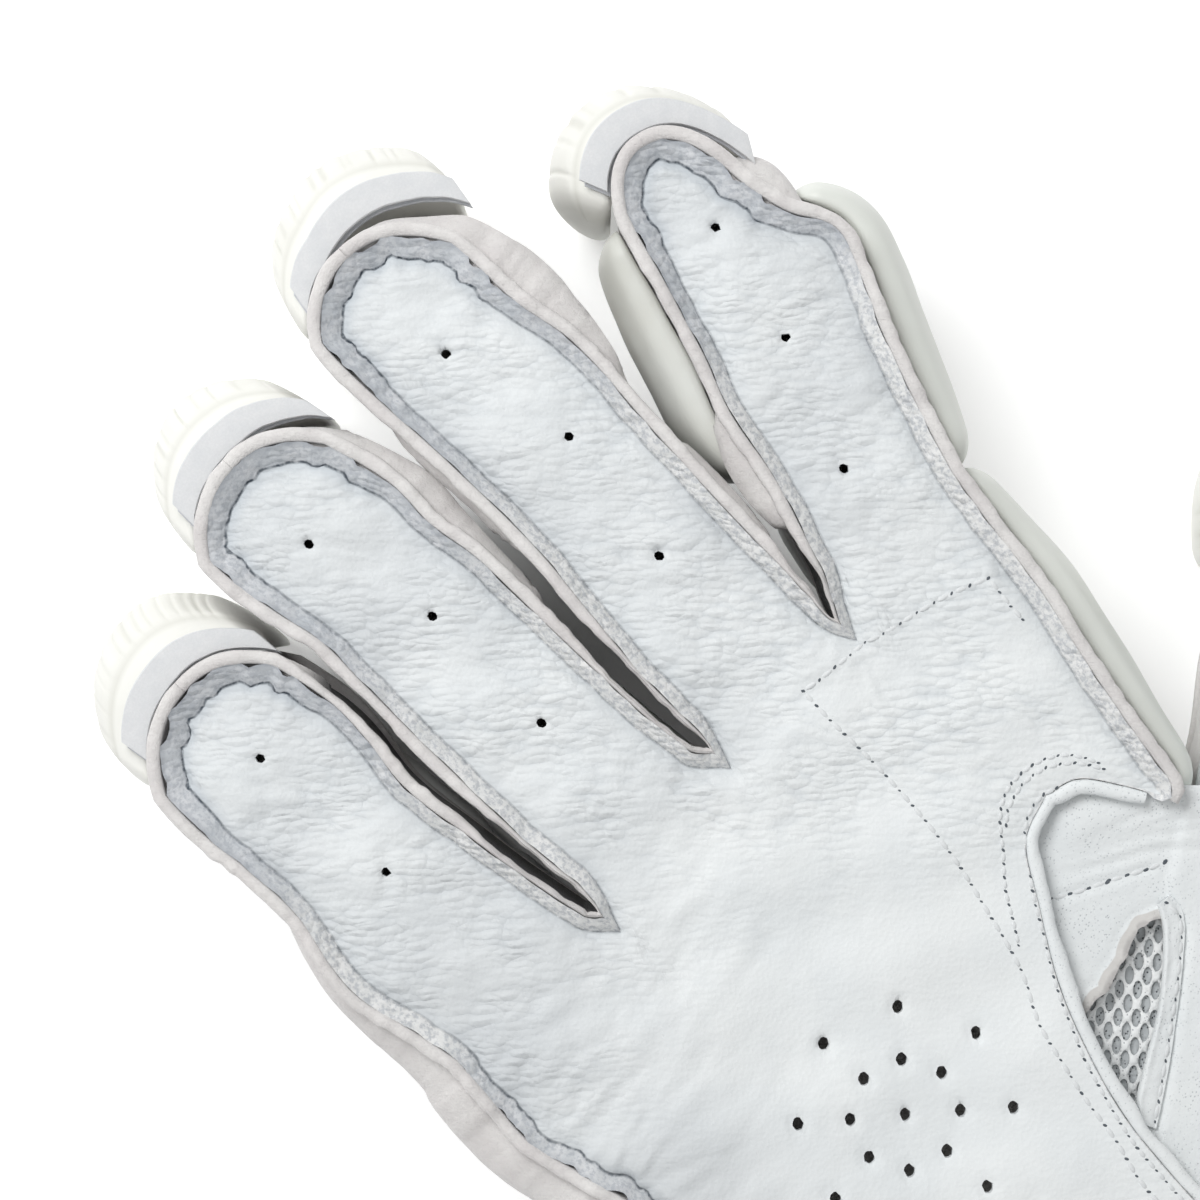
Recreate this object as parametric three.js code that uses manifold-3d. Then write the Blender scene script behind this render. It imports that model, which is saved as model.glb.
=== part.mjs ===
// Cricket batting glove for the right hand, lying on its back pads with the palm up.
// Millimetres, +Z up, +Y from the wrist to the fingertips, +X towards the thumb.
import * as THREE from 'three';
import * as BufferGeometryUtils from 'three/addons/utils/BufferGeometryUtils.js';
import Module from 'manifold-3d';

const wasm = await Module();
wasm.setup();

// Driving dimensions.
const GAP = 0.3;
const SEAM_GAP = 0.5;
const SLOT_EASE = 1.1;
const LEATHER = 1.4;
const COTTON = 1.3;
const PAD_H = 15;
const SHEET = 1.5;
const PALM_Z = 40;
const CROWN = 1.1;
const FLANGE_RISE = 2.4;
const EDGE_OUT = 1.5;
const FLANGE = 3.3;
const FLANGE_TIP = 4.2;
const RIM_FLANGE = 0.2;
const CROTCH_DEPTH = 5.2;
const SLOT_HALF = 0.45;
const HALF = 10;
const ROWS = 12;
const ACROSS = 2;
const PALM_HOLE_R = 0.95;
const FINGER_HOLE_R = 0.65;
const STAR_RINGS = [7.6, 14.8];
const STAR_TURN = 47;

const SHEET_Z = PAD_H + GAP;
const WALL_Z = SHEET_Z + SHEET + GAP;

// Fingers in order from the little finger. Base point, turn towards the thumb and length of
// the palm panel; slot points below; sizes at the tip.
const FINGERS = [
  { name: 'little', x: -21.5, y: 45.0, turn: -2.7, length: 63.6, tipLeft: 5.5, tipRight: 5.2 },
  { name: 'ring', x: 5.2, y: 49.0, turn: -2.4, length: 75.4, tipLeft: 4.0, tipRight: 5.5 },
  { name: 'middle', x: 30.6, y: 52.0, turn: 2.0, length: 80.5, tipLeft: 4.0, tipRight: 6.5 },
  { name: 'index', x: 55.5, y: 53.0, turn: 14.8, length: 62.6, tipLeft: 4.5, tipRight: 9.5 },
];

// Half widths of each palm panel, as shares of HALF, at shares of its length.
const PANELS = {
  little: [
    { at: 0.09, left: 1.21, right: 0.98 }, { at: 0.23, left: 1.32, right: 0.87 },
    { at: 0.36, left: 1.42, right: 0.81 }, { at: 0.55, left: 1.12, right: 0.74 },
    { at: 0.73, left: 1.08, right: 0.92 }, { at: 0.86, left: 1.08, right: 0.94 },
    { at: 1.0, left: 0.98, right: 0.80 },
  ],
  ring: [
    { at: 0.09, left: 1.02, right: 0.93 }, { at: 0.19, left: 1.04, right: 0.90 },
    { at: 0.42, left: 0.95, right: 0.97 }, { at: 0.60, left: 0.85, right: 1.04 },
    { at: 0.73, left: 0.78, right: 0.98 }, { at: 0.86, left: 0.86, right: 1.02 },
    { at: 1.0, left: 0.88, right: 0.82 },
  ],
  middle: [
    { at: 0.05, left: 0.97, right: 0.98 }, { at: 0.19, left: 0.96, right: 1.0 },
    { at: 0.33, left: 0.86, right: 1.03 }, { at: 0.47, left: 0.76, right: 1.08 },
    { at: 0.68, left: 0.78, right: 1.16 }, { at: 0.84, left: 0.82, right: 0.97 },
    { at: 1.0, left: 0.80, right: 0.88 },
  ],
  index: [
    { at: 0.03, left: 0.84, right: 0.93 }, { at: 0.28, left: 0.70, right: 1.06 },
    { at: 0.45, left: 0.74, right: 1.20 }, { at: 0.58, left: 0.63, right: 1.36 },
    { at: 0.71, left: 0.58, right: 1.40 }, { at: 0.84, left: 0.52, right: 1.02 },
    { at: 1.0, left: 0.42, right: 0.60 },
  ],
};

// Foot of the slots between the fingers, where the seams meet.
const SLOTS = [
  { x: -8.2, y: 45.7 },
  { x: 18.4, y: 49.7 },
  { x: 42.9, y: 49.2 },
];

// How far the side walls reach out at their foot on each finger, at shares of its length.
const LEANS = {
  little: { at: [0, 0.3, 0.7, 1], left: [3.2, 2.6, 2.0, 1.4], right: [0, 0.3, 1.0, 2.2] },
  ring: { at: [0, 0.3, 0.7, 1], left: [0, 0.2, 0.6, 0.9], right: [0, 0.2, 1.6, 4.2] },
  middle: { at: [0, 0.3, 0.7, 1], left: [0, 0.2, 1.0, 1.4], right: [0, 0.4, 3.2, 6.6] },
  index: { at: [0, 0.3, 0.7, 1], left: [0, 0.8, 1.4, 1.6], right: [2.0, 2.0, 2.4, 3.6] },
};

// Palm panel below the fingers. The little-finger side and the hand side run down from the
// finger rows, the rim turns round the thumb from its crotch and runs down to the wrist.
const LEFT_UPPER = [
  { x: -34.6, y: 43.0 }, { x: -35.4, y: 36.0 }, { x: -33.6, y: 27.0 }, { x: -32.0, y: 19.5 },
  { x: -32.2, y: 14.0 },
];
const LEFT_LOWER = [
  { x: -33.0, y: 1.0 }, { x: -32.4, y: -13.0 }, { x: -30.2, y: -29.0 }, { x: -27.5, y: -42.0 },
  { x: -26.0, y: -52.0 },
];
const HAND_SIDE = [
  { x: 64.2, y: 45.0 }, { x: 62.8, y: 36.5 }, { x: 60.5, y: 27.9 }, { x: 58.6, y: 19.7 },
  { x: 57.0, y: 12.2 }, { x: 55.8, y: 4.6 },
];
const RIM_UPPER = [{ x: 53.4, y: 9.2 }, { x: 49.6, y: 14.6 }, { x: 45.0, y: 16.2 }];
const RIM_LOWER = [
  { x: 38.6, y: 14.0 }, { x: 33.2, y: 6.5 }, { x: 27.1, y: -2.9 }, { x: 23.1, y: -12.0 },
  { x: 20.2, y: -21.1 }, { x: 18.7, y: -31.0 }, { x: 17.1, y: -52.0 },
];
const UPPER_ROWS = 7;
const LOWER_ROWS = 8;
const RIM_CELLS = 5;

// Thumb panel, a row from the wrist to the tip: upper edge tucked under the rim, lower edge.
const THUMB_ROWS = [
  { ux: 14, uy: -44, wx: 30, wy: -52, tucked: 1 },
  { ux: 16.5, uy: -32, wx: 40, wy: -48.5, tucked: 1 },
  { ux: 19, uy: -20, wx: 49, wy: -43.5, tucked: 1 },
  { ux: 22.5, uy: -10, wx: 57, wy: -38, tucked: 1 },
  { ux: 27, uy: -1, wx: 64, wy: -33, tucked: 1 },
  { ux: 33, uy: 7.5, wx: 70, wy: -29, tucked: 1 },
  { ux: 41, uy: 16, wx: 76, wy: -25.5, tucked: 1 },
  { ux: 50.2, uy: 12.6, wx: 81, wy: -22.5, tucked: 1 },
  { ux: 56.4, uy: -1.6, wx: 86, wy: -19.5, tucked: 0.15 },
  { ux: 66, uy: 2.8, wx: 92, wy: -16, tucked: 0 },
  { ux: 76, uy: 9.8, wx: 98.5, wy: -12, tucked: 0 },
  { ux: 87, uy: 16.1, wx: 105, wy: -7.5, tucked: 0 },
  { ux: 98, uy: 21.5, wx: 111.5, wy: -1, tucked: 0 },
];
const THUMB_TIP = [{ x: 106, y: 22.5 }, { x: 112, y: 18 }, { x: 115.5, y: 12 }, { x: 115, y: 5 }];
const THUMB_TOP = 37.2;
const THUMB_EDGE = 27;
const THUMB_ACROSS = 5;
const MESH_WINDOW = [{ x: 43.0, y: -7.6 }, { x: 28.4, y: -8.6 }, { x: 24.6, y: -21.0 }];

const FOLD_STRIP = {
  thick: 0.9,
  outline: [
    { x: 44.6, y: -5.8 }, { x: 46.8, y: -6.4 }, { x: 45.2, y: -10.1 }, { x: 39.6, y: -14.9 },
    { x: 28.7, y: -22.5 }, { x: 25.3, y: -24.7 }, { x: 24.2, y: -21.9 }, { x: 26.7, y: -19.8 },
    { x: 34.6, y: -15.4 }, { x: 41.4, y: -9.9 },
  ],
};

// Perforations on the finger panels.
const FINGER_HOLES = [
  { x: -24.3, y: 97.7 }, { x: -23.9, y: 74.6 },
  { x: 1.5, y: 112.8 }, { x: 5.8, y: 93.8 }, { x: 5.3, y: 73.0 },
  { x: 33.2, y: 116.8 }, { x: 36.4, y: 96.9 }, { x: 32.9, y: 76.8 },
  { x: 70.9, y: 101.7 }, { x: 66.5, y: 84.5 }, { x: 58.8, y: 66.5 },
];

// Colours.
const white = 0xe8ecee;
const cotton = 0xeee9e6;
const capWhite = 0xfbfbf7;
const padWhite = 0xe6e8e2;
const greyBand = 0xdfe3e6;
const greyLining = 0xc3c8cd;

const glove = new THREE.Group();

function lerp(a, b, t) {
  return a + (b - a) * t;
}

function clamp(v, lo, hi) {
  return Math.min(hi, Math.max(lo, v));
}

function smooth(a, b, v) {
  const t = clamp((v - a) / (b - a), 0, 1);
  return t * t * (3 - 2 * t);
}

function table(xs, ys, x) {
  if (x <= xs[0]) return ys[0];
  for (let i = 1; i < xs.length; i += 1) {
    if (x <= xs[i]) return lerp(ys[i - 1], ys[i], (x - xs[i - 1]) / (xs[i] - xs[i - 1]));
  }
  return ys[ys.length - 1];
}

function solid(points, faces) {
  const geometry = new THREE.BufferGeometry();
  geometry.setAttribute('position', new THREE.Float32BufferAttribute(points.flat(), 3));
  geometry.setIndex(faces.flat());
  return BufferGeometryUtils.mergeVertices(geometry, 1e-4);
}

function add(name, geometry, colour, rough = 0.7) {
  geometry.computeVertexNormals();
  const material = new THREE.MeshStandardMaterial({ color: colour, roughness: rough, metalness: 0 });
  const mesh = new THREE.Mesh(geometry, material);
  mesh.name = name;
  glove.add(mesh);
  return mesh;
}

function toManifold(geometry) {
  const g = geometry.clone();
  g.deleteAttribute('normal');
  g.deleteAttribute('uv');
  const merged = BufferGeometryUtils.mergeVertices(g, 1e-4);
  return new wasm.Manifold(new wasm.Mesh({
    numProp: 3,
    vertProperties: new Float32Array(merged.attributes.position.array),
    triVerts: new Uint32Array(merged.index.array),
  }));
}

function fromManifold(body) {
  const mesh = body.getMesh();
  const geometry = new THREE.BufferGeometry();
  const xyz = new Float32Array((mesh.vertProperties.length / mesh.numProp) * 3);
  for (let i = 0; i < xyz.length / 3; i += 1) {
    for (let k = 0; k < 3; k += 1) xyz[i * 3 + k] = mesh.vertProperties[i * mesh.numProp + k];
  }
  geometry.setAttribute('position', new THREE.BufferAttribute(xyz, 3));
  geometry.setIndex(new THREE.BufferAttribute(new Uint32Array(mesh.triVerts), 1));
  return geometry;
}

// Triangles over a flat ring, turning the way the ring itself does.
function ringOrder(ring) {
  const flat = ring.map(([u, v]) => new THREE.Vector2(u, v));
  const sign = Math.sign(THREE.ShapeUtils.area(flat));
  return THREE.ShapeUtils.triangulateShape(flat, []).map(([i, j, k]) => {
    const same = Math.sign(THREE.ShapeUtils.area([flat[i], flat[j], flat[k]])) === sign;
    return same ? [i, j, k] : [k, j, i];
  });
}

// Sweep a closed outline of (out, z) points along stations with a place and an outward way.
function sweep(stations, section) {
  const points = [];
  const faces = [];
  const last = stations.length - 1;
  const rings = stations.map((s, i) => section(s, i / last, i));
  const n = rings[0].length;
  rings.forEach((ring, i) => {
    const s = stations[i];
    ring.forEach(([out, z]) => points.push([s.x + s.nx * out, s.y + s.ny * out, z]));
  });
  for (let i = 0; i < last; i += 1) {
    for (let k = 0; k < n; k += 1) {
      const a = i * n + k;
      const b = i * n + ((k + 1) % n);
      faces.push([a, a + n, b], [b, a + n, b + n]);
    }
  }
  [0, last].forEach((i) => {
    ringOrder(rings[i]).forEach((t) => {
      const tri = t.map((k) => i * n + k);
      faces.push(i === 0 ? tri : tri.reverse());
    });
  });
  return outward(solid(points, faces));
}

function outward(geometry) {
  const p = geometry.attributes.position;
  const idx = geometry.index;
  let volume = 0;
  const a = new THREE.Vector3();
  const b = new THREE.Vector3();
  const c = new THREE.Vector3();
  for (let i = 0; i < idx.count; i += 3) {
    a.fromBufferAttribute(p, idx.getX(i));
    b.fromBufferAttribute(p, idx.getX(i + 1));
    c.fromBufferAttribute(p, idx.getX(i + 2));
    volume += a.dot(b.cross(c));
  }
  if (volume < 0) {
    for (let i = 0; i < idx.count; i += 3) {
      const first = idx.getX(i);
      idx.setX(i, idx.getX(i + 2));
      idx.setX(i + 2, first);
    }
  }
  return geometry;
}

// A plate with its outline in plan, its top and foot given by functions of place.
function plate(outline, zTop, zFoot) {
  const flat = outline.map((p) => new THREE.Vector2(p.x, p.y));
  if (THREE.ShapeUtils.isClockWise(flat)) flat.reverse();
  const n = flat.length;
  const points = [];
  flat.forEach((p) => points.push([p.x, p.y, zTop(p.x, p.y)]));
  flat.forEach((p) => points.push([p.x, p.y, zFoot(p.x, p.y)]));
  const faces = [];
  THREE.ShapeUtils.triangulateShape(flat, []).forEach(([i, j, k]) => {
    faces.push([i, j, k], [n + k, n + j, n + i]);
  });
  for (let i = 0; i < n; i += 1) {
    const j = (i + 1) % n;
    faces.push([i, n + i, j], [j, n + i, n + j]);
  }
  return outward(solid(points, faces));
}

// Fingers: place in the glove of a point along and across a finger.
const fingerFrames = FINGERS.map((f) => {
  const a = THREE.MathUtils.degToRad(f.turn);
  return { ...f, ux: Math.sin(a), uy: Math.cos(a), rx: Math.cos(a), ry: -Math.sin(a) };
});

function onFinger(f, along, right) {
  return { x: f.x + f.ux * along + f.rx * right, y: f.y + f.uy * along + f.ry * right };
}

function eased(xs, ys, x) {
  const i = clamp(xs.findIndex((v) => v >= x), 1, xs.length - 1);
  const t = clamp((x - xs[i - 1]) / (xs[i] - xs[i - 1]), 0, 1);
  const slope = (k) => {
    const lo = Math.max(k - 1, 0);
    const hi = Math.min(k + 1, xs.length - 1);
    return (ys[hi] - ys[lo]) / (xs[hi] - xs[lo]);
  };
  const span = xs[i] - xs[i - 1];
  const t2 = t * t;
  const t3 = t2 * t;
  return (2 * t3 - 3 * t2 + 1) * ys[i - 1] + (t3 - 2 * t2 + t) * span * slope(i - 1)
    + (3 * t2 - 2 * t3) * ys[i] + (t3 - t2) * span * slope(i);
}

function panelHalf(f, share, side) {
  const rows = PANELS[f.name];
  const at = rows.map((r) => r.at);
  const width = rows.map((r) => r[side] * HALF);
  return share >= 1 ? width[width.length - 1] : eased(at, width, share);
}

function fingerNode(f, row, u) {
  const share = 0.09 + 0.91 * (row / ROWS);
  const side = u < 0 ? 'left' : 'right';
  const drop = (u < 0 ? f.tipLeft : f.tipRight) * (Math.abs(u) ** 2.4) * smooth(0.55, 1, share);
  const half = panelHalf(f, share, side);
  return onFinger(f, share * f.length - drop, u * half);
}

// Stations round the palm panel: place on the seam, outward way and flange width.
const stations = [];

function station(p, kind, more = {}) {
  stations.push({ x: p.x, y: p.y, kind, lean: 0, ...more });
}

function curve(rows) {
  return new THREE.CatmullRomCurve3(rows.map((p) => new THREE.Vector3(p.x, p.y, 0)));
}

const leftUpper = curve([fingerNode(fingerFrames[0], 0, -1), ...LEFT_UPPER]);
const leftLower = curve([LEFT_UPPER[LEFT_UPPER.length - 1], ...LEFT_LOWER]);
const handSide = curve([fingerNode(fingerFrames[3], 0, 1), ...HAND_SIDE]);
const rimUpper = curve([HAND_SIDE[HAND_SIDE.length - 1], ...RIM_UPPER]);
const rimLower = curve([RIM_UPPER[RIM_UPPER.length - 1], ...RIM_LOWER]);
const HAND_CELLS = 4 * ACROSS * 2 + 6;
const LOW_CELLS = HAND_CELLS - RIM_CELLS;

for (let i = LOWER_ROWS; i >= 0; i -= 1) {
  station(leftLower.getPointAt(i / LOWER_ROWS), 'little_side', { at: i / LOWER_ROWS + 1, lean: 3.5 });
}
for (let i = UPPER_ROWS - 1; i >= 1; i -= 1) {
  station(leftUpper.getPointAt(i / UPPER_ROWS), 'little_side', { at: i / UPPER_ROWS, lean: 4.4 });
}
fingerFrames.forEach((f, k) => {
  const lean = LEANS[f.name];
  for (let row = 0; row <= ROWS; row += 1) {
    station(fingerNode(f, row, -1), 'left', {
      finger: k, row, lean: table(lean.at, lean.left, row / ROWS), share: row / ROWS,
    });
  }
  for (let j = 1; j < ACROSS * 2; j += 1) {
    const u = -1 + j / ACROSS;
    station(fingerNode(f, ROWS, u), 'tip', {
      finger: k, row: ROWS, u, share: 1,
      lean: lerp(lean.left[3], lean.right[3], (j / (ACROSS * 2)) ** 2),
    });
  }
  for (let row = ROWS; row >= 0; row -= 1) {
    station(fingerNode(f, row, 1), 'right', {
      finger: k, row, lean: table(lean.at, lean.right, row / ROWS), share: row / ROWS,
    });
  }
  if (k < 3) station(SLOTS[k], 'slot', { slot: k });
});
for (let i = 1; i <= UPPER_ROWS; i += 1) {
  station(handSide.getPointAt(i / UPPER_ROWS), 'hand_side', { share: i / UPPER_ROWS, lean: 2 });
}
for (let i = 1; i <= RIM_CELLS; i += 1) station(rimUpper.getPointAt(i / RIM_CELLS), 'rim');
for (let i = 1; i <= LOWER_ROWS; i += 1) station(rimLower.getPointAt(i / LOWER_ROWS), 'rim');
const wristRight = rimLower.getPointAt(1);
const wristLeft = leftLower.getPointAt(1);
for (let i = LOW_CELLS - 1; i >= 1; i -= 1) {
  station({ x: lerp(wristLeft.x, wristRight.x, i / LOW_CELLS), y: wristLeft.y }, 'wrist');
}

const count = stations.length;
stations.forEach((s, i) => {
  const before = stations[(i + count - 1) % count];
  const after = stations[(i + 1) % count];
  const length = Math.hypot(after.x - before.x, after.y - before.y);
  s.nx = -(after.y - before.y) / length;
  s.ny = (after.x - before.x) / length;
  s.flange = FLANGE;
  if (s.kind === 'slot') {
    s.nx = 0;
    s.ny = 1;
    s.flange = CROTCH_DEPTH - SLOT_HALF;
  }
  if (s.kind === 'tip') s.flange = FLANGE_TIP;
  if (s.kind === 'left' || s.kind === 'right') s.flange = lerp(FLANGE, FLANGE_TIP, smooth(0.7, 1, s.share));
  if (s.row === 0 && s.finger !== undefined) {
    const f = fingerFrames[s.finger];
    const way = s.kind === 'left' ? -1 : 1;
    s.nx = f.rx * way;
    s.ny = f.ry * way;
  }
  if (s.kind === 'rim' || s.kind === 'wrist') s.flange = RIM_FLANGE;
  if (s.kind === 'wrist') {
    s.nx = 0;
    s.ny = -1;
  }
});

stations[0].nx = -1;
stations[0].ny = 0;
const rimEnd = stations.findLastIndex((s) => s.kind === 'rim');
stations[rimEnd].nx = 1;
stations[rimEnd].ny = 0;
const sideEnd = stations.findLastIndex((s) => s.kind === 'hand_side');
stations[sideEnd].nx = stations[sideEnd - 1].nx;
stations[sideEnd].ny = stations[sideEnd - 1].ny;

// Seams next to a slot keep half of the slot free on each side.
stations.forEach((s) => {
  if (s.kind !== 'left' && s.kind !== 'right') return;
  const other = s.kind === 'left' ? s.finger - 1 : s.finger + 1;
  if (other < 0 || other > 3) return;
  const facing = s.kind === 'left' ? 'right' : 'left';
  let room = 99;
  stations.forEach((o) => {
    if (o.kind === facing && o.finger === other) {
      const d = Math.hypot(o.x - s.x, o.y - s.y);
      room = Math.min(room, d);
    }
  });
  s.flange = Math.min(s.flange, room / 2 - SLOT_HALF);
  s.room = room / 2 - SLOT_HALF;
});
stations.forEach((s) => {
  s.edge = Math.min(EDGE_OUT, s.flange * 0.4);
  s.leather = s.kind === 'rim' || s.kind === 'wrist' ? s.flange : s.flange - s.edge;
});

// Height of the palm leather's upper face at the seam and across the panel.
function seamZ(s, i) {
  const tipPuckers = s.kind === 'tip' ? 0.35 * Math.cos(i * 2.4) : 0;
  const sidePuckers = s.kind === 'little_side' ? 0.5 * Math.cos(i * 2.1) : 0;
  return PALM_Z + tipPuckers + sidePuckers - (s.kind === 'slot' ? 0.6 : 0);
}

function flangeZ(s, i) {
  if (s.kind === 'rim' || s.kind === 'wrist') return PALM_Z;
  const ruffle = 0.45 * Math.sin(i * 1.9) + 0.25 * Math.sin(i * 4.3);
  const side = s.kind === 'little_side' ? 1.5 : 1;
  return PALM_Z + FLANGE_RISE + ruffle * side;
}

function panelZ(x, y) {
  let z = PALM_Z + CROWN;
  const hollow = Math.exp(-((x - 2) ** 2) / 900 - ((y - 5) ** 2) / 1400);
  z -= 2.6 * hollow;
  z += 1.5 * Math.exp(-((x + 20) ** 2) / 260 - ((y - 10) ** 2) / 900);
  z += 0.25 * Math.sin(x * 0.21 + y * 0.33) + 0.2 * Math.sin(y * 0.24 - x * 0.12);
  return z;
}

// Palm panel as a net of nodes: each finger from its slots to its tip, and the hand below.
const grids = [];
function seamNode(s) {
  return [s.x, s.y, seamZ(s, stations.indexOf(s))];
}

function netNode(p) {
  return [p.x, p.y, panelZ(p.x, p.y)];
}

fingerFrames.forEach((f, k) => {
  const lefts = stations.filter((s) => s.finger === k && s.kind === 'left');
  const rights = stations.filter((s) => s.finger === k && s.kind === 'right').reverse();
  const tips = stations.filter((s) => s.finger === k && s.kind === 'tip');
  const rows = [];
  for (let row = 0; row <= ROWS; row += 1) {
    const line = [seamNode(lefts[row])];
    for (let j = 1; j < ACROSS * 2; j += 1) {
      const u = -1 + j / ACROSS;
      if (row === ROWS) line.push(seamNode(tips[j - 1]));
      else line.push(netNode(fingerNode(f, row, u)));
    }
    line.push(seamNode(rights[row]));
    rows.push(line);
  }
  grids.push(rows);
});

// The top line of the hand joins the fingers' first rows across the slots.
const slotStations = stations.filter((s) => s.kind === 'slot');
const topLine = [];
grids.forEach((rows, k) => {
  rows[0].forEach((p) => topLine.push(p));
  if (k < 3) topLine.push(seamNode(slotStations[k]));
});

function netLine(line, firstSeam, lastSeam) {
  return line.map((p, j) => {
    if (j === 0) return seamNode(firstSeam);
    if (j === line.length - 1) return seamNode(lastSeam);
    return netNode(p);
  });
}

// Nodes between two lines, drawn to the true places of their end seams.
function netBetween(top, foot, lefts, rights) {
  const rows = lefts.length;
  const lines = [];
  for (let r = 1; r <= rows; r += 1) {
    const v = r / rows;
    const left = lefts[r - 1];
    const right = rights[r - 1];
    const n = top.length - 1;
    const line = top.map((p, j) => {
      const u = j / n;
      const q = foot[j];
      const dl = [left.x - lerp(top[0].x, foot[0].x, v), left.y - lerp(top[0].y, foot[0].y, v)];
      const dr = [right.x - lerp(top[n].x, foot[n].x, v), right.y - lerp(top[n].y, foot[n].y, v)];
      return {
        x: lerp(p.x, q.x, v) + (1 - u) * dl[0] + u * dr[0],
        y: lerp(p.y, q.y, v) + (1 - u) * dl[1] + u * dr[1],
      };
    });
    lines.push(netLine(line, left, right));
  }
  return lines;
}

const leftSeams = stations.filter((s) => s.kind === 'little_side').reverse();
const sideSeams = stations.filter((s) => s.kind === 'hand_side');
const rimSeams = stations.filter((s) => s.kind === 'rim');
const wristSeams = stations.filter((s) => s.kind === 'wrist').reverse();
const plan = (p) => ({ x: p[0], y: p[1] });
const crown = rimSeams[RIM_CELLS - 1];
const middle = [];
for (let j = 0; j <= LOW_CELLS; j += 1) {
  const u = j / LOW_CELLS;
  const left = leftSeams[UPPER_ROWS - 1];
  middle.push({ x: lerp(left.x, crown.x, u), y: lerp(left.y, crown.y, u) });
}
for (let j = RIM_CELLS - 2; j >= 0; j -= 1) middle.push({ x: rimSeams[j].x, y: rimSeams[j].y });
middle.push({ x: sideSeams[UPPER_ROWS - 1].x, y: sideSeams[UPPER_ROWS - 1].y });
const upper = netBetween(topLine.map(plan), middle, leftSeams.slice(0, UPPER_ROWS), sideSeams);
const lastUpper = upper[UPPER_ROWS - 1];
for (let j = 0; j < RIM_CELLS; j += 1) {
  lastUpper[LOW_CELLS + j] = seamNode(rimSeams[RIM_CELLS - 1 - j]);
}
const lowTop = lastUpper.slice(0, LOW_CELLS + 1);
const lowFoot = [];
for (let j = 0; j <= LOW_CELLS; j += 1) {
  lowFoot.push({ x: lerp(wristLeft.x, wristRight.x, j / LOW_CELLS), y: wristLeft.y });
}
const lower = netBetween(
  lowTop.map(plan), lowFoot, leftSeams.slice(UPPER_ROWS), rimSeams.slice(RIM_CELLS),
);
const lastLower = lower[LOWER_ROWS - 1];
wristSeams.forEach((s, j) => {
  lastLower[j + 1] = seamNode(s);
});
const handNets = [[topLine, ...upper], [lowTop, ...lower]];

function palmGeometry() {
  const points = [];
  const faces = [];
  const lookup = new Map();
  const index = (p) => {
    const key = p.map((v) => v.toFixed(4)).join(',');
    if (!lookup.has(key)) {
      lookup.set(key, points.length);
      points.push(p);
    }
    return lookup.get(key);
  };
  const quad = (a, b, c, d) => {
    faces.push([index(a), index(b), index(c)], [index(a), index(c), index(d)]);
  };
  grids.forEach((rows) => {
    for (let r = 0; r < rows.length - 1; r += 1) {
      for (let j = 0; j < rows[r].length - 1; j += 1) {
        quad(rows[r][j], rows[r][j + 1], rows[r + 1][j + 1], rows[r + 1][j]);
      }
    }
  });
  handNets.forEach((rows) => {
    for (let r = 0; r < rows.length - 1; r += 1) {
      for (let j = 0; j < rows[r].length - 1; j += 1) {
        quad(rows[r + 1][j], rows[r + 1][j + 1], rows[r][j + 1], rows[r][j]);
      }
    }
  });
  const outer = stations.map((s, i) => [s.x + s.nx * s.leather, s.y + s.ny * s.leather, flangeZ(s, i)]);
  for (let i = 0; i < count; i += 1) {
    const j = (i + 1) % count;
    quad(outer[i], seamNode(stations[i]), seamNode(stations[j]), outer[j]);
  }
  const n = points.length;
  const all = points.concat(points.map((p) => [p[0], p[1], p[2] - LEATHER]));
  const shell = faces.concat(faces.map((t) => [t[2] + n, t[1] + n, t[0] + n]));
  for (let i = 0; i < count; i += 1) {
    const j = (i + 1) % count;
    const a = index(outer[i]);
    const b = index(outer[j]);
    shell.push([a, b, b + n], [a, b + n, a + n]);
  }
  return outward(solid(all, shell));
}

function prism(x, y, radius, sides, z0, z1) {
  const geometry = new THREE.CylinderGeometry(radius, radius, z1 - z0, sides);
  geometry.rotateX(Math.PI / 2);
  geometry.translate(x, y, (z0 + z1) / 2);
  return geometry;
}

const holes = FINGER_HOLES.map((h) => ({ ...h, r: FINGER_HOLE_R }));
holes.push({ x: 0, y: 0, r: PALM_HOLE_R });
STAR_RINGS.forEach((radius) => {
  for (let k = 0; k < 8; k += 1) {
    const a = THREE.MathUtils.degToRad(STAR_TURN + k * 45);
    holes.push({ x: radius * Math.cos(a), y: radius * Math.sin(a), r: PALM_HOLE_R });
  }
});
let palmBody = toManifold(palmGeometry());
holes.forEach((h) => {
  palmBody = palmBody.subtract(toManifold(prism(h.x, h.y, h.r, 6, PALM_Z - 8, PALM_Z + 8)));
});
add('palm_leather', fromManifold(palmBody), white, 0.55);

// A run of stations from one index to another, its ends drawn in by a little where asked.
function span(from, to, trimStart = 0, trimEnd = 0) {
  const list = stations.slice(from, to + 1).map((s) => ({ ...s }));
  const draw = (s, next, by) => {
    const d = Math.hypot(next.x - s.x, next.y - s.y);
    s.x += ((next.x - s.x) / d) * by;
    s.y += ((next.y - s.y) / d) * by;
  };
  if (trimStart) draw(list[0], list[1], trimStart);
  if (trimEnd) draw(list[list.length - 1], list[list.length - 2], trimEnd);
  return list;
}

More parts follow.
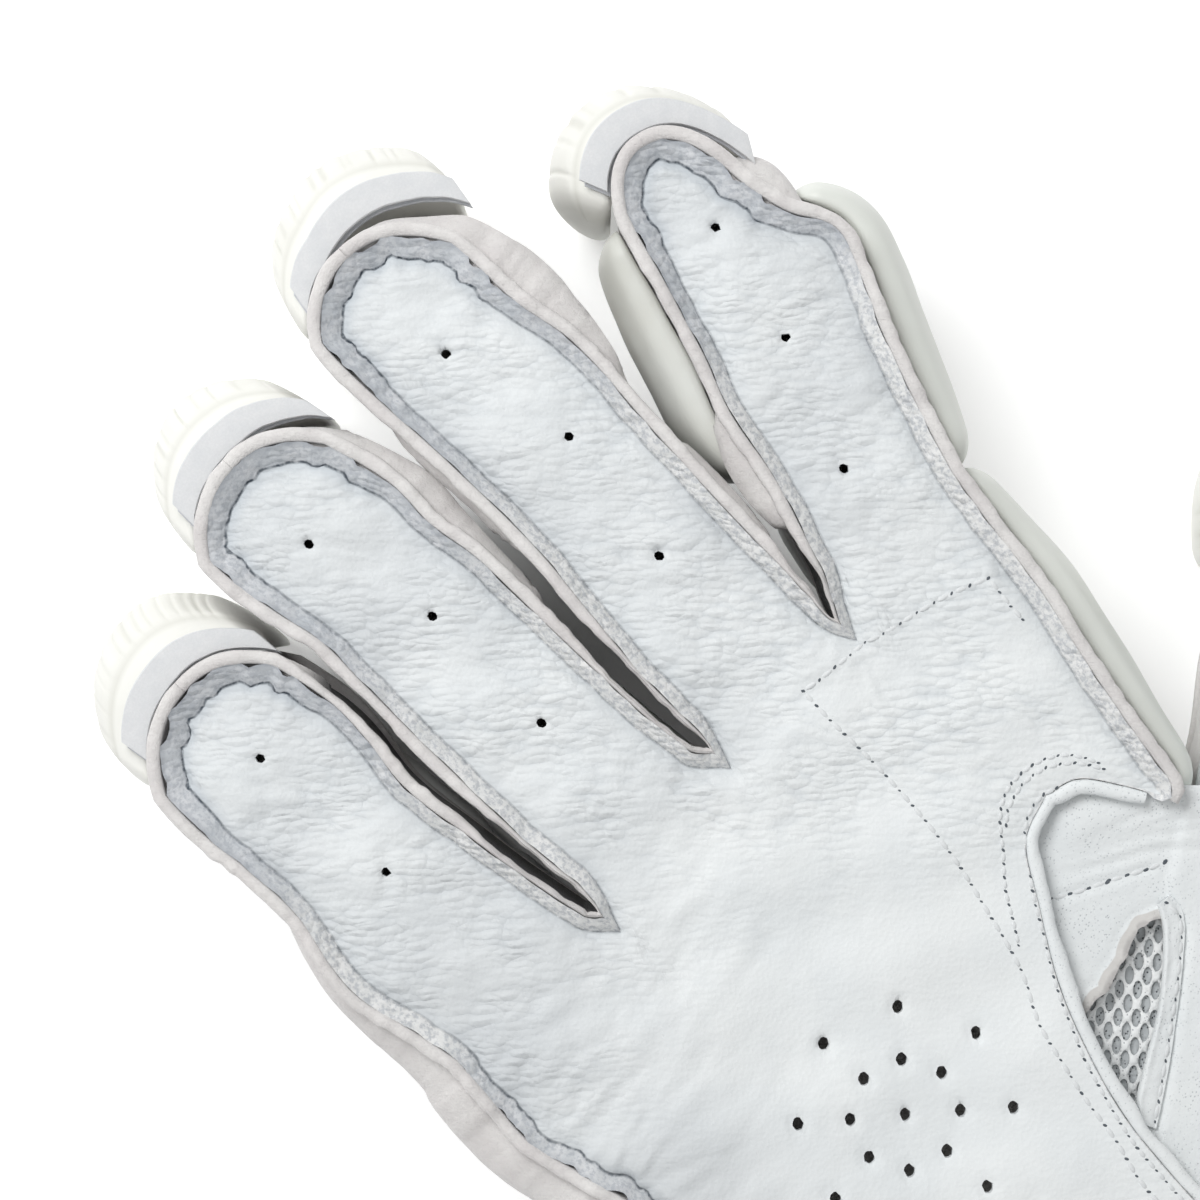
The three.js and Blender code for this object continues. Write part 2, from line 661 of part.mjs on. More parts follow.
// Stations with others set between them on a smooth line.
function refined(list, times) {
  const path = new THREE.CatmullRomCurve3(list.map((s) => new THREE.Vector3(s.x, s.y, 0)), false, 'centripetal');
  const out = [];
  for (let i = 0; i < list.length - 1; i += 1) {
    for (let k = 0; k < times; k += 1) {
      const t = k / times;
      const p = path.getPoint((i + t) / (list.length - 1));
      const a = list[i];
      const b = list[i + 1];
      const nx = lerp(a.nx, b.nx, t);
      const ny = lerp(a.ny, b.ny, t);
      const d = Math.hypot(nx, ny);
      out.push({
        ...a, x: p.x, y: p.y, nx: nx / d, ny: ny / d,
        flange: lerp(a.flange, b.flange, t), leather: lerp(a.leather, b.leather, t),
        lean: lerp(a.lean, b.lean, t),
      });
    }
  }
  out.push(list[list.length - 1]);
  return out;
}

// Cotton side walls: foot on the back sheet, top turned out under the leather's seam edge.
const WALL_IN = 0.7;
const SIDE_END = 2.4;
const wallOut = (s) => WALL_IN + COTTON + s.lean;

function wallSection(s) {
  const i = stations.findIndex((o) => Math.hypot(o.x - s.x, o.y - s.y) < 1);
  const ease = s.kind === 'slot' ? SLOT_EASE : SLOT_EASE * 0.6 * (s.row <= 1 ? 1 : 0);
  const zSeam = seamZ(s, i) - LEATHER - SEAM_GAP - ease;
  const rise = (flangeZ(s, i) - seamZ(s, i)) / s.leather;
  return [
    [WALL_IN + s.lean, WALL_Z],
    [WALL_IN, zSeam + rise * WALL_IN],
    [s.flange, zSeam + rise * s.flange],
    [s.flange, zSeam + rise * s.flange - COTTON],
    [WALL_IN + COTTON, zSeam + rise * (WALL_IN + COTTON) - COTTON * 1.4],
    [wallOut(s), WALL_Z],
  ];
}

const tipIndex = fingerFrames.map((f, k) => stations.findIndex(
  (s) => s.finger === k && s.kind === 'tip' && Math.abs(s.u) < 1e-6,
));
const lastSide = stations.lastIndexOf(sideSeams[UPPER_ROWS - 1]);
const walls = [
  { name: 'gusset_little_side', from: 0, to: tipIndex[0] },
  { name: 'gusset_little_ring', from: tipIndex[0], to: tipIndex[1] },
  { name: 'gusset_ring_middle', from: tipIndex[1], to: tipIndex[2] },
  { name: 'gusset_middle_index', from: tipIndex[2], to: tipIndex[3] },
  { name: 'gusset_index_side', from: tipIndex[3], to: lastSide },
];
walls.forEach((w) => {
  const trimStart = w.from === 0 ? 0 : GAP / 2;
  const trimEnd = w.to === lastSide ? SIDE_END : GAP / 2;
  add(w.name, sweep(span(w.from, w.to, trimStart, trimEnd), wallSection), cotton, 0.95);
});

// Thumb outline: lower edge from the wrist to the tip, round it and back to the crotch.
const FREE_ROW = THUMB_ROWS.findIndex((r) => r.tucked < 0.5);
const thumbPath = [
  ...THUMB_ROWS.map((r) => ({ x: r.wx, y: r.wy })),
  ...THUMB_TIP.slice().reverse(),
  ...THUMB_ROWS.slice(FREE_ROW).reverse().map((r) => ({ x: r.ux, y: r.uy })),
];
const thumbStations = thumbPath.map((p, i) => {
  const a = thumbPath[Math.max(i - 1, 0)];
  const b = thumbPath[Math.min(i + 1, thumbPath.length - 1)];
  const d = Math.hypot(b.x - a.x, b.y - a.y);
  return { x: p.x, y: p.y, nx: (b.y - a.y) / d, ny: -(b.x - a.x) / d, lean: 0, flange: 1 };
});

function thumbZ(u, tucked) {
  const upper = lerp(THUMB_EDGE, THUMB_TOP, tucked);
  const rise = smooth(0, 0.38, u);
  const fall = smooth(0.5, 1, u);
  return lerp(lerp(upper, THUMB_TOP, rise), THUMB_EDGE, fall);
}

function thumbGeometry() {
  const rows = THUMB_ROWS.map((r) => {
    const line = [];
    for (let j = 0; j <= THUMB_ACROSS; j += 1) {
      const u = j / THUMB_ACROSS;
      line.push([lerp(r.ux, r.wx, u), lerp(r.uy, r.wy, u), thumbZ(u, r.tucked)]);
    }
    return line;
  });
  const last = rows[rows.length - 1];
  const tip = [last[0], ...THUMB_TIP.map((p) => [p.x, p.y, THUMB_EDGE]), last[THUMB_ACROSS]];
  const faces = [];
  const points = rows.flat().concat(tip.slice(1, -1));
  const w = THUMB_ACROSS + 1;
  for (let r = 0; r < rows.length - 1; r += 1) {
    for (let j = 0; j < THUMB_ACROSS; j += 1) {
      const a = r * w + j;
      faces.push([a, a + 1, a + w + 1], [a, a + w + 1, a + w]);
    }
  }
  const base = (rows.length - 1) * w;
  const far = rows.length * w;
  const tipNode = (j) => (j === 0 ? base : j === THUMB_ACROSS ? base + THUMB_ACROSS : far + j - 1);
  for (let j = 0; j < THUMB_ACROSS; j += 1) {
    if (j > 0) faces.push([base + j, base + j + 1, tipNode(j)]);
    if (j < THUMB_ACROSS - 1) faces.push([tipNode(j), base + j + 1, tipNode(j + 1)]);
  }
  const n = points.length;
  const all = points.concat(points.map((p) => [p[0], p[1], p[2] - LEATHER]));
  const shell = faces.concat(faces.map((t) => [t[2] + n, t[1] + n, t[0] + n]));
  const edges = new Map();
  faces.forEach((t) => t.forEach((a, k) => edges.set(`${a},${t[(k + 1) % 3]}`, [a, t[(k + 1) % 3]])));
  edges.forEach(([a, b]) => {
    if (!edges.has(`${b},${a}`)) shell.push([b, a, a + n], [b, a + n, b + n]);
  });
  return outward(solid(all, shell));
}

function windowPrism(corners, z0, z1, grow) {
  const cx = corners.reduce((t, p) => t + p.x, 0) / corners.length;
  const cy = corners.reduce((t, p) => t + p.y, 0) / corners.length;
  const outline = corners.map((p) => ({ x: cx + (p.x - cx) * grow, y: cy + (p.y - cy) * grow }));
  return plate(outline, () => z1, () => z0);
}

const thumbBody = toManifold(thumbGeometry())
  .subtract(toManifold(windowPrism(MESH_WINDOW, THUMB_TOP - 12, THUMB_TOP + 6, 1)));
add('thumb_leather', fromManifold(thumbBody), white, 0.55);

// Spacer mesh behind the thumb window, pierced in staggered rows.
const MESH_T = 1.5;
const CELL = { along: 4.6, across: 3.4, r: 1.15, long: 1.5 };
const meshTop = THUMB_TOP - LEATHER - GAP;
let meshBody = toManifold(windowPrism(MESH_WINDOW, meshTop - MESH_T, meshTop, 1.25));
const meshMid = {
  x: MESH_WINDOW.reduce((t, p) => t + p.x, 0) / 3, y: MESH_WINDOW.reduce((t, p) => t + p.y, 0) / 3,
};
const CELL_TURN = THREE.MathUtils.degToRad(43);

function insideWindow(x, y, margin) {
  return MESH_WINDOW.every((p, i) => {
    const q = MESH_WINDOW[(i + 1) % 3];
    const d = Math.hypot(q.x - p.x, q.y - p.y);
    return ((q.x - p.x) * (y - p.y) - (q.y - p.y) * (x - p.x)) / d > margin;
  });
}

for (let i = -4; i <= 4; i += 1) {
  for (let j = -4; j <= 4; j += 1) {
    const a = (i + (j % 2 ? 0.5 : 0)) * CELL.along;
    const b = j * CELL.across * 0.82;
    const x = meshMid.x + a * Math.cos(CELL_TURN) - b * Math.sin(CELL_TURN);
    const y = meshMid.y + a * Math.sin(CELL_TURN) + b * Math.cos(CELL_TURN);
    if (insideWindow(x, y, 0.9)) {
      const cell = prism(0, 0, CELL.r, 6, meshTop - 6, meshTop + 6);
      cell.scale(CELL.long, 1, 1);
      cell.rotateZ(CELL_TURN);
      cell.translate(x, y, 0);
      meshBody = meshBody.subtract(toManifold(cell));
    }
  }
}
add('thumb_mesh_insert', fromManifold(meshBody), 0xf4f5f5, 0.6);

// Folded leather strip sewn down beside the mesh window.
add('thumb_fold_strip', plate(
  FOLD_STRIP.outline, () => THUMB_TOP + GAP + FOLD_STRIP.thick, () => THUMB_TOP + GAP,
), white, 0.55);

const thumbEdgeFoot = THUMB_EDGE - LEATHER - GAP;
add('thumb_gusset', sweep(thumbStations, () => [
  [-COTTON - 0.2, WALL_Z], [-COTTON - 0.2, thumbEdgeFoot], [-0.2, thumbEdgeFoot], [-0.2, WALL_Z],
]), cotton, 0.95);

// Sheet over the back of the hand and thumb that the pads are stitched to.
const SHEET_OVER = 0.2;
const handEdge = stations.slice(0, lastSide + 1).map((s) => {
  const out = s.room === undefined ? wallOut(s) + SHEET_OVER : Math.min(wallOut(s) + SHEET_OVER, s.room);
  return { x: s.x + s.nx * out, y: s.y + s.ny * out };
});
const thumbEdge = thumbStations.slice().reverse().slice(1).map((s) => (
  { x: s.x + s.nx * 0.4, y: s.y + s.ny * 0.4 }
));
add('back_sheet', plate([...handEdge, ...thumbEdge], () => SHEET_Z + SHEET, () => SHEET_Z), cotton, 0.9);

// Bound rim round the thumb.
const rimFrom = stations.indexOf(rimSeams[0]);
const rimTo = stations.indexOf(rimSeams[rimSeams.length - 1]);
const BIND_R = 1.0;
add('thumb_rim_binding', sweep(span(rimFrom, rimTo, 1.2, 0.6), () => {
  const ring = [];
  for (let k = 0; k < 7; k += 1) {
    const a = (k / 7) * Math.PI * 2;
    const x = RIM_FLANGE + GAP + BIND_R * (1 + Math.cos(a));
    ring.push([x, PALM_Z - LEATHER / 2 + 0.3 + BIND_R * Math.sin(a)]);
  }
  return ring;
}), white, 0.55);

// Padded caps round the fingertips, gathered towards the outer edge, and their cut strips.
const CAPS = {
  little: { out: 13.4, left: -6, right: 0, ends: 0.8 },
  ring: { out: 12.6, left: 6, right: -6, ends: 0.84 },
  middle: { out: 12.8, left: 10, right: 10, ends: 0.86 },
  index: { out: 10.2, left: -42, right: 18, ends: 0.82 },
};
const CAP_TOP = 37.6;
const CAP_ROWS = [
  { out: 0, z: 0.995 }, { out: 0.42, z: 0.975 }, { out: 0.68, z: 0.9 }, { out: 0.88, z: 0.74 },
  { out: 1, z: 0.5 }, { out: 0.93, z: 0.24 }, { out: 0.7, z: 0.07 }, { out: 0.35, z: 0.0 },
];
const GATHER = 0.035;
const CAP_CLEAR = 0.4;
const capInner = (s) => Math.max(s.flange, wallOut(s)) + CAP_CLEAR;

// Stations on a cap's inner edge, looking out the way the cap reaches.
function capStations(f, k) {
  const cap = CAPS[f.name];
  const from = stations.findIndex((s) => s.finger === k && s.kind === 'left' && s.row === ROWS);
  const line = span(from, from + ACROSS * 2);
  return line.map((s, i) => {
    const t = i / (line.length - 1);
    const a = THREE.MathUtils.degToRad(lerp(cap.left, cap.right, t));
    const out = capInner(s);
    return {
      ...s, x: s.x + s.nx * out, y: s.y + s.ny * out,
      nx: f.ux * Math.cos(a) + f.rx * Math.sin(a), ny: f.uy * Math.cos(a) + f.ry * Math.sin(a),
    };
  });
}

const BAND_TRIM = 1;
const LINING = { from: -0.1, to: 3.9, thick: 0.8 };
const STRIP = { from: 0.4, to: 4.7, thick: 1.0 };

fingerFrames.forEach((f, k) => {
  const cap = CAPS[f.name];
  const line = refined(capStations(f, k), 4);
  add(`${f.name}_tip_cap`, sweep(line, (s, t, i) => {
    const out = cap.out * lerp(cap.ends, 1, Math.sin(Math.PI * t) ** 0.6);
    return CAP_ROWS.map((r) => {
      const fold = r.out > 0.6 ? 1 + GATHER * (i % 2 ? 1 : -1) : 1;
      return [r.out * out * fold, r.z * CAP_TOP];
    });
  }), capWhite, 0.45);
  const foot = CAP_TOP + GAP;
  const coarse = line.filter((s, i) => i % 2 === 0).slice(BAND_TRIM);
  add(`${f.name}_tip_lining`, sweep(coarse, () => [
    [LINING.from, foot], [LINING.to, foot], [LINING.to, foot + LINING.thick],
    [LINING.from, foot + LINING.thick],
  ]), greyLining, 0.8);
  const lift = foot + LINING.thick + GAP;
  add(`${f.name}_tip_band`, sweep(coarse, () => [
    [STRIP.from, lift], [STRIP.to, lift], [STRIP.to, lift + STRIP.thick],
    [STRIP.from, lift + STRIP.thick],
  ]), greyBand, 0.6);
});

// Long side pads on the index finger and along the hand.
const SIDE_PAD_ROWS = [
  { out: 0, z: 37.4 }, { out: 0.5, z: 36.8 }, { out: 0.86, z: 32.5 }, { out: 1, z: 26 },
  { out: 0.88, z: 20 }, { out: 0.5, z: 16.6 }, { out: 0, z: 16.0 },
];

function sidePad(name, line, bulge) {
  add(name, sweep(refined(line, 2), (s, t) => {
    const a = capInner(s);
    const b = bulge * (0.35 + 0.65 * Math.sin(Math.PI * clamp(t, 0, 1)) ** 0.45);
    return SIDE_PAD_ROWS.map((r) => [a + r.out * b, r.z]);
  }), padWhite, 0.5);
}

const indexTop = stations.findIndex((s) => s.finger === 3 && s.kind === 'right' && s.row === 10);
const indexFoot = stations.findIndex((s) => s.finger === 3 && s.kind === 'right' && s.row === 0);
const SIDE_BULGE = { index: 5.5, hand: 5.0, inner: 6.4 };
sidePad('index_side_pad', span(indexTop, indexFoot), SIDE_BULGE.index);
sidePad('hand_side_pad', span(indexFoot + 1, lastSide, 0, SIDE_END), SIDE_BULGE.hand);

// Smooth pad on the inner side of the index finger, from its cap towards the slot.
const INNER_PAD = { fromRow: 3, toRow: 11 };
const innerRow = (row) => stations.findIndex((s) => s.finger === 3 && s.kind === 'left' && s.row === row);
sidePad('index_inner_pad', span(innerRow(INNER_PAD.fromRow), innerRow(INNER_PAD.toRow)), SIDE_BULGE.inner);

// Rolls on the back of the fingers, hand and thumb, each lying on its flat underside.
const ROLL_ROWS = [
  { right: -1, z: 1 }, { right: -1, z: 0.5 }, { right: -0.78, z: 0.12 }, { right: -0.45, z: 0 },
  { right: 0.45, z: 0 }, { right: 0.78, z: 0.12 }, { right: 1, z: 0.5 }, { right: 1, z: 1 },
];
const ROLL_ENDS = [
  { at: 0, wide: 0.88, deep: 0.62 }, { at: 0.17, wide: 1, deep: 1 },
  { at: 0.83, wide: 1, deep: 1 }, { at: 1, wide: 0.88, deep: 0.62 },
];

function roll(name, frame, from, to, left, right, colour = capWhite) {
  const mid = (right + left) / 2;
  const half = (right - left) / 2;
  const line = ROLL_ENDS.map((e) => {
    const p = onFinger(frame, lerp(from, to, e.at), 0);
    return { x: p.x, y: p.y, nx: frame.rx, ny: frame.ry };
  });
  add(name, sweep(line, (s, t, i) => ROLL_ROWS.map((r) => (
    [mid + r.right * half * ROLL_ENDS[i].wide, PAD_H * (1 - (1 - r.z) * ROLL_ENDS[i].deep)]
  ))), colour, 0.5);
}

const ROLLS = {
  little: [{ from: -0.02, to: 0.30 }, { from: 0.32, to: 0.63 }, { from: 0.65, to: 0.95 }],
  ring: [{ from: -0.02, to: 0.31 }, { from: 0.33, to: 0.64 }, { from: 0.66, to: 0.96 }],
  middle: [{ from: -0.02, to: 0.31 }, { from: 0.33, to: 0.64 }, { from: 0.66, to: 0.96 }],
  index: [{ from: -0.02, to: 0.22 }, { from: 0.24, to: 0.56 }, { from: 0.58, to: 0.90 }],
};
const ROLL_WIDTH = {
  little: { left: -12.2, right: 10.8 },
  ring: { left: -11.8, right: 11.4 },
  middle: { left: -11.4, right: 11.8 },
  index: { left: -10.6, right: 13.0 },
};
const ROLL_NAMES = ['base', 'mid', 'top'];
fingerFrames.forEach((f) => {
  ROLLS[f.name].forEach((r, i) => {
    const w = ROLL_WIDTH[f.name];
    roll(`${f.name}_roll_${ROLL_NAMES[i]}`, f, r.from * f.length, r.to * f.length, w.left, w.right);
  });
});

function frameAt(x, y, turn) {
  const a = THREE.MathUtils.degToRad(turn);
  return { x, y, ux: Math.sin(a), uy: Math.cos(a), rx: Math.cos(a), ry: -Math.sin(a) };
}

const HAND_ROLLS = [
  { name: 'hand_roll_little', x: -20.5, y: -6, turn: -1.5, length: 48, half: 12 },
  { name: 'hand_roll_ring', x: 4.6, y: -6, turn: 0, length: 52, half: 12 },
  { name: 'hand_roll_middle', x: 29.6, y: -6, turn: 1.0, length: 55, half: 12 },
  { name: 'hand_roll_index', x: 52.0, y: 8, turn: 7, length: 40, half: 9 },
  { name: 'wrist_pad_left', x: -13.0, y: -50, turn: 0, length: 42, half: 15.5 },
  { name: 'wrist_pad_right', x: 19.0, y: -50, turn: 0, length: 42, half: 15.5 },
  { name: 'thumb_roll_base', x: 53.0, y: -25.5, turn: 60, length: 30, half: 13 },
  { name: 'thumb_roll_tip', x: 79.6, y: -8.6, turn: 60, length: 24, half: 11.4 },
];
HAND_ROLLS.forEach((r) => roll(r.name, frameAt(r.x, r.y, r.turn), 0, r.length, -r.half, r.half));

// Padded cap round the thumb tip.
const THUMB_CAP_OUT = 8;
const thumbTipFrom = THUMB_ROWS.length - 3;
const thumbTipLine = thumbStations.slice(thumbTipFrom, thumbTipFrom + THUMB_TIP.length + 5);
add('thumb_tip_cap', sweep(refined(thumbTipLine, 2), (s, t) => {
  const out = THUMB_CAP_OUT * (0.35 + 0.65 * Math.sin(Math.PI * clamp(t, 0, 1)) ** 0.6);
  return CAP_ROWS.map((r) => [0.6 + r.out * out, r.z * (THUMB_EDGE + 3)]);
}), capWhite, 0.45);

// Wristband and strap, finished plainly.
const BAND = { x: 2, half: 34, top: 40, wall: 2.2, from: -107, to: -52.9, power: 2.6 };
const BAND_SIDES = 24;

function bandPoint(a, grow) {
  const c = Math.cos(a);
  const d = Math.sin(a);
  const p = 2 / BAND.power;
  const x = BAND.x + Math.sign(c) * (Math.abs(c) ** p) * (BAND.half + grow);
  const z = BAND.top / 2 + Math.sign(d) * (Math.abs(d) ** p) * (BAND.top / 2 + grow);
  return [x, z];
}

function alongY(rings) {
  const points = [];
  const faces = [];
  const n = rings[0].ring.length;
  rings.forEach((r) => r.ring.forEach(([x, z]) => points.push([x, r.y, z])));
  for (let i = 0; i < rings.length - 1; i += 1) {
    for (let k = 0; k < n; k += 1) {
      const a = i * n + k;
      const b = i * n + ((k + 1) % n);
      faces.push([a, b, a + n], [b, b + n, a + n]);
    }
  }
  return { points, faces, n };
}

function bandRing(grow) {
  const ring = [];
  for (let k = 0; k < BAND_SIDES; k += 1) ring.push(bandPoint((k / BAND_SIDES) * Math.PI * 2, grow));
  return ring;
}

function bandGeometry() {
  const ys = [BAND.from, lerp(BAND.from, BAND.to, 0.08), lerp(BAND.from, BAND.to, 0.92), BAND.to];
  const outer = ys.map((y, i) => ({ y, ring: bandRing(i === 0 || i === 3 ? -0.5 : 0) }));
  const inner = ys.slice().reverse().map((y) => ({ y, ring: bandRing(-BAND.wall) }));
  const net = alongY([...outer, ...inner]);
  const last = outer.length * 2 - 1;
  for (let k = 0; k < net.n; k += 1) {
    const a = last * net.n + k;
    const b = last * net.n + ((k + 1) % net.n);
    const c = k;
    const d = (k + 1) % net.n;
    net.faces.push([a, b, c], [b, d, c]);
  }
  return outward(solid(net.points, net.faces));
}

add('wristband', bandGeometry(), cotton, 0.9);

const STRAP = { from: -92, to: -66, t: 1.8, start: -12, end: 196, steps: 22 };

function strapGeometry(y0, y1, from, to, base, t, steps) {
  const ring = [];
  for (let k = 0; k <= steps; k += 1) {
    ring.push(bandPoint(THREE.MathUtils.degToRad(lerp(from, to, k / steps)), base));
  }
  for (let k = steps; k >= 0; k -= 1) {
    ring.push(bandPoint(THREE.MathUtils.degToRad(lerp(from, to, k / steps)), base + t));
  }
  const net = alongY([{ y: y0, ring }, { y: y1, ring }]);
  ringOrder(ring).forEach(([a, b, c]) => {
    net.faces.push([c, b, a], [net.n + a, net.n + b, net.n + c]);
  });
  return outward(solid(net.points, net.faces));
}

add('wrist_strap', strapGeometry(STRAP.from, STRAP.to, STRAP.start, STRAP.end, GAP, STRAP.t, STRAP.steps), white, 0.5);
add('strap_tab', strapGeometry(
  STRAP.from + 3, STRAP.to - 3, 108, 172, GAP * 2 + STRAP.t, STRAP.t, 8,
), capWhite, 0.5);

// Stand the glove on its pads with its middle over the origin.
const bounds = new THREE.Box3().setFromObject(glove);
glove.position.set(
  -(bounds.min.x + bounds.max.x) / 2, -(bounds.min.y + bounds.max.y) / 2, -bounds.min.z,
);

export default glove;
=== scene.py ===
"""Cricket batting glove for the right hand, lying palm up: leather, cotton, pads and stitching."""

import math

import bmesh
import bpy
import numpy as np
from mathutils import Matrix, Vector
from mathutils.bvhtree import BVHTree


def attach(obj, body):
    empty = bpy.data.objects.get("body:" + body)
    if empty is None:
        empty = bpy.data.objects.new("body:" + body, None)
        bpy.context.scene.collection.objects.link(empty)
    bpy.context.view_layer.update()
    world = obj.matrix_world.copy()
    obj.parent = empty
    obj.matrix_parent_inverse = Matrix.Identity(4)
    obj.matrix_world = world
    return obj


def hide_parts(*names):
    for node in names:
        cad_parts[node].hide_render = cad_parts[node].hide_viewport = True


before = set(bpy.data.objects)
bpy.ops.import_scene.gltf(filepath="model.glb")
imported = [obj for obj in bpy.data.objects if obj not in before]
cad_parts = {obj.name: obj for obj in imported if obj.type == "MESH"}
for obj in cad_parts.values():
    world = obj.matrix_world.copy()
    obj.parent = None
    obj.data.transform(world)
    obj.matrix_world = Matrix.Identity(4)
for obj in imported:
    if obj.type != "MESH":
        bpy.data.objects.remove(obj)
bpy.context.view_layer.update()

# All sizes are in millimetres from the middle of the star of holes; SHIFT and MM bring them home.
MM = 0.001
SHIFT = np.array([-41.1923, -21.7459, 0.0])

PALM_Z = 40.0  # height of the palm seam
CROWN = 1.1  # rise of the leather between its seams
FLANGE_RISE = 2.4  # rise of the turned-up leather edge
EDGE_OUT = 1.5  # cotton that shows outside the leather edge
FLANGE = 3.3  # width of the seam edge beside a finger
FLANGE_TIP = 4.2  # the same round a fingertip
RIM_FLANGE = 0.2  # and round the thumb and at the wrist
CROTCH_DEPTH = 5.2
SLOT_HALF = 0.45  # half the gap between two fingers
HALF = 10.0  # half the usual width of a finger panel
LEATHER = 1.25
WALL_IN = 0.7  # inner side of a cotton wall, out from the seam
COTTON = 1.3
WALL_Z = 17.1  # foot of the cotton walls
SHEET_Z = 15.3  # underside of the back sheet
PAD_H = 15.0  # height of the rolls of the back
CAP_TOP = 37.6
CAP_CLEAR = 0.4
THUMB_TOP = 37.2
THUMB_EDGE = 27.0
FIRST_ROW = 0.09  # share of a finger's length where its fine net starts

FINGERS = [
    dict(name="little", x=-21.5, y=45.0, turn=-2.7, length=63.6, tip_left=5.5, tip_right=5.2),
    dict(name="ring", x=5.2, y=49.0, turn=-2.4, length=75.4, tip_left=4.0, tip_right=5.5),
    dict(name="middle", x=30.6, y=52.0, turn=2.0, length=80.5, tip_left=4.0, tip_right=6.5),
    dict(name="index", x=55.5, y=53.0, turn=14.8, length=62.6, tip_left=4.5, tip_right=9.5),
]
# Half widths of each palm panel as shares of HALF: share of the length, left, right.
PANELS = {
    "little": [(0.09, 1.21, 0.98), (0.23, 1.32, 0.87), (0.36, 1.42, 0.81), (0.55, 1.12, 0.74),
               (0.73, 1.08, 0.92), (0.86, 1.08, 0.94), (1.0, 0.98, 0.80)],
    "ring": [(0.09, 1.02, 0.93), (0.19, 1.04, 0.90), (0.42, 0.95, 0.97), (0.60, 0.85, 1.04),
             (0.73, 0.78, 0.98), (0.86, 0.86, 1.02), (1.0, 0.88, 0.82)],
    "middle": [(0.05, 0.97, 0.98), (0.19, 0.96, 1.0), (0.33, 0.86, 1.03), (0.47, 0.76, 1.08),
               (0.68, 0.78, 1.16), (0.84, 0.82, 0.97), (1.0, 0.80, 0.88)],
    "index": [(0.03, 0.84, 0.93), (0.28, 0.70, 1.06), (0.45, 0.74, 1.20), (0.58, 0.63, 1.36),
              (0.71, 0.58, 1.40), (0.84, 0.52, 1.02), (1.0, 0.42, 0.60)],
}
SLOTS = [(-8.2, 45.7), (18.4, 49.7), (42.9, 49.2)]
# How far the side walls reach out at their foot, at shares of the finger: share, left, right.
LEANS = {
    "little": [(0, 3.2, 0), (0.3, 2.6, 0.3), (0.7, 2.0, 1.0), (1, 1.4, 2.2)],
    "ring": [(0, 0, 0), (0.3, 0.2, 0.2), (0.7, 0.6, 1.6), (1, 0.9, 4.2)],
    "middle": [(0, 0, 0), (0.3, 0.2, 0.4), (0.7, 1.0, 3.2), (1, 1.4, 6.6)],
    "index": [(0, 0, 2.0), (0.3, 0.8, 2.0), (0.7, 1.4, 2.4), (1, 1.6, 3.6)],
}
# Swelling of the cotton below its rolled edge: beside the little finger and the hand, beside each
# finger's right end (share where it starts, share where it is full, most), and where fingers face
# each other (finger, side, first share, last share, most).
SIDE_SWELL = 3.4
RIGHT_SWELLS = [(0.66, 0.9, 1.8), (0.58, 0.85, 2.6), (0.40, 0.75, 3.8), (0.80, 0.92, 3.8)]
INNER_SWELLS = [(3, "left", 0.04, 0.48, 5.0), (2, "right", 0.04, 0.48, 3.0),
                (1, "right", 0.34, 0.9, 2.6), (2, "left", 0.34, 0.9, 2.6)]
# Lines of the seam down the little finger's side of the hand, the index side and the thumb's edge.
LEFT_UPPER = [(-34.6, 43.0), (-35.4, 36.0), (-33.6, 27.0), (-32.0, 19.5), (-32.2, 14.0)]
LEFT_LOWER = [(-33.0, 1.0), (-32.4, -13.0), (-30.2, -29.0), (-27.5, -42.0), (-26.0, -52.0)]
HAND_SIDE = [(64.2, 45.0), (62.8, 36.5), (60.5, 27.9), (58.6, 19.7), (57.0, 12.2), (55.8, 4.6)]
RIM_UPPER = [(53.4, 9.2), (49.6, 14.6), (45.0, 16.2)]
RIM_LOWER = [(38.6, 14.0), (33.2, 6.5), (27.1, -2.9), (23.1, -12.0), (20.2, -21.1), (18.7, -31.0),
             (17.1, -52.0)]
FINGER_HOLES = [(-24.3, 97.7), (-23.9, 74.6), (1.5, 112.8), (5.8, 93.8), (5.3, 73.0),
                (33.2, 116.8), (36.4, 96.9), (32.9, 76.8), (70.9, 101.7), (66.5, 84.5), (58.8, 66.5)]
STAR_RINGS = [7.6, 14.8]
STAR_HOLES = 8  # holes in each ring
STAR_TURN = 47.0
STAR_HOLE = (0.95, 0.78)
STAR_HOLE_TURN = 43.0
FINGER_HOLE_R = 0.65

# Cells of the fine nets.
ROWS = 96
ACROSS = 32
CROTCH_CELLS = 10
UPPER_ROWS = 62
LOWER_ROWS = 76
RIM_CELLS = 38
FLANGE_CELLS = 6

GRAIN = np.random.default_rng(11).random((256, 256))


def to_world(p):
    """A place in millimetres from the star, in the frame."""
    return Vector((np.asarray(p, float) + SHIFT) * MM)


def smooth(a, b, v):
    """0 at a, 1 at b, smooth between."""
    t = np.clip((np.asarray(v, float) - a) / (b - a), 0.0, 1.0)
    return t * t * (3 - 2 * t)


def lerp(a, b, t):
    return a + (b - a) * t


def noise(x, y):
    """Smooth noise from -1 to 1 that is the same each time."""
    x, y = np.broadcast_arrays(np.asarray(x, float), np.asarray(y, float))
    xi = np.floor(x).astype(int)
    yi = np.floor(y).astype(int)
    fx = x - xi
    fy = y - yi
    fx = fx * fx * (3 - 2 * fx)
    fy = fy * fy * (3 - 2 * fy)
    a = GRAIN[xi & 255, yi & 255]
    b = GRAIN[(xi + 1) & 255, yi & 255]
    c = GRAIN[xi & 255, (yi + 1) & 255]
    d = GRAIN[(xi + 1) & 255, (yi + 1) & 255]
    return 2 * lerp(lerp(a, b, fx), lerp(c, d, fx), fy) - 1


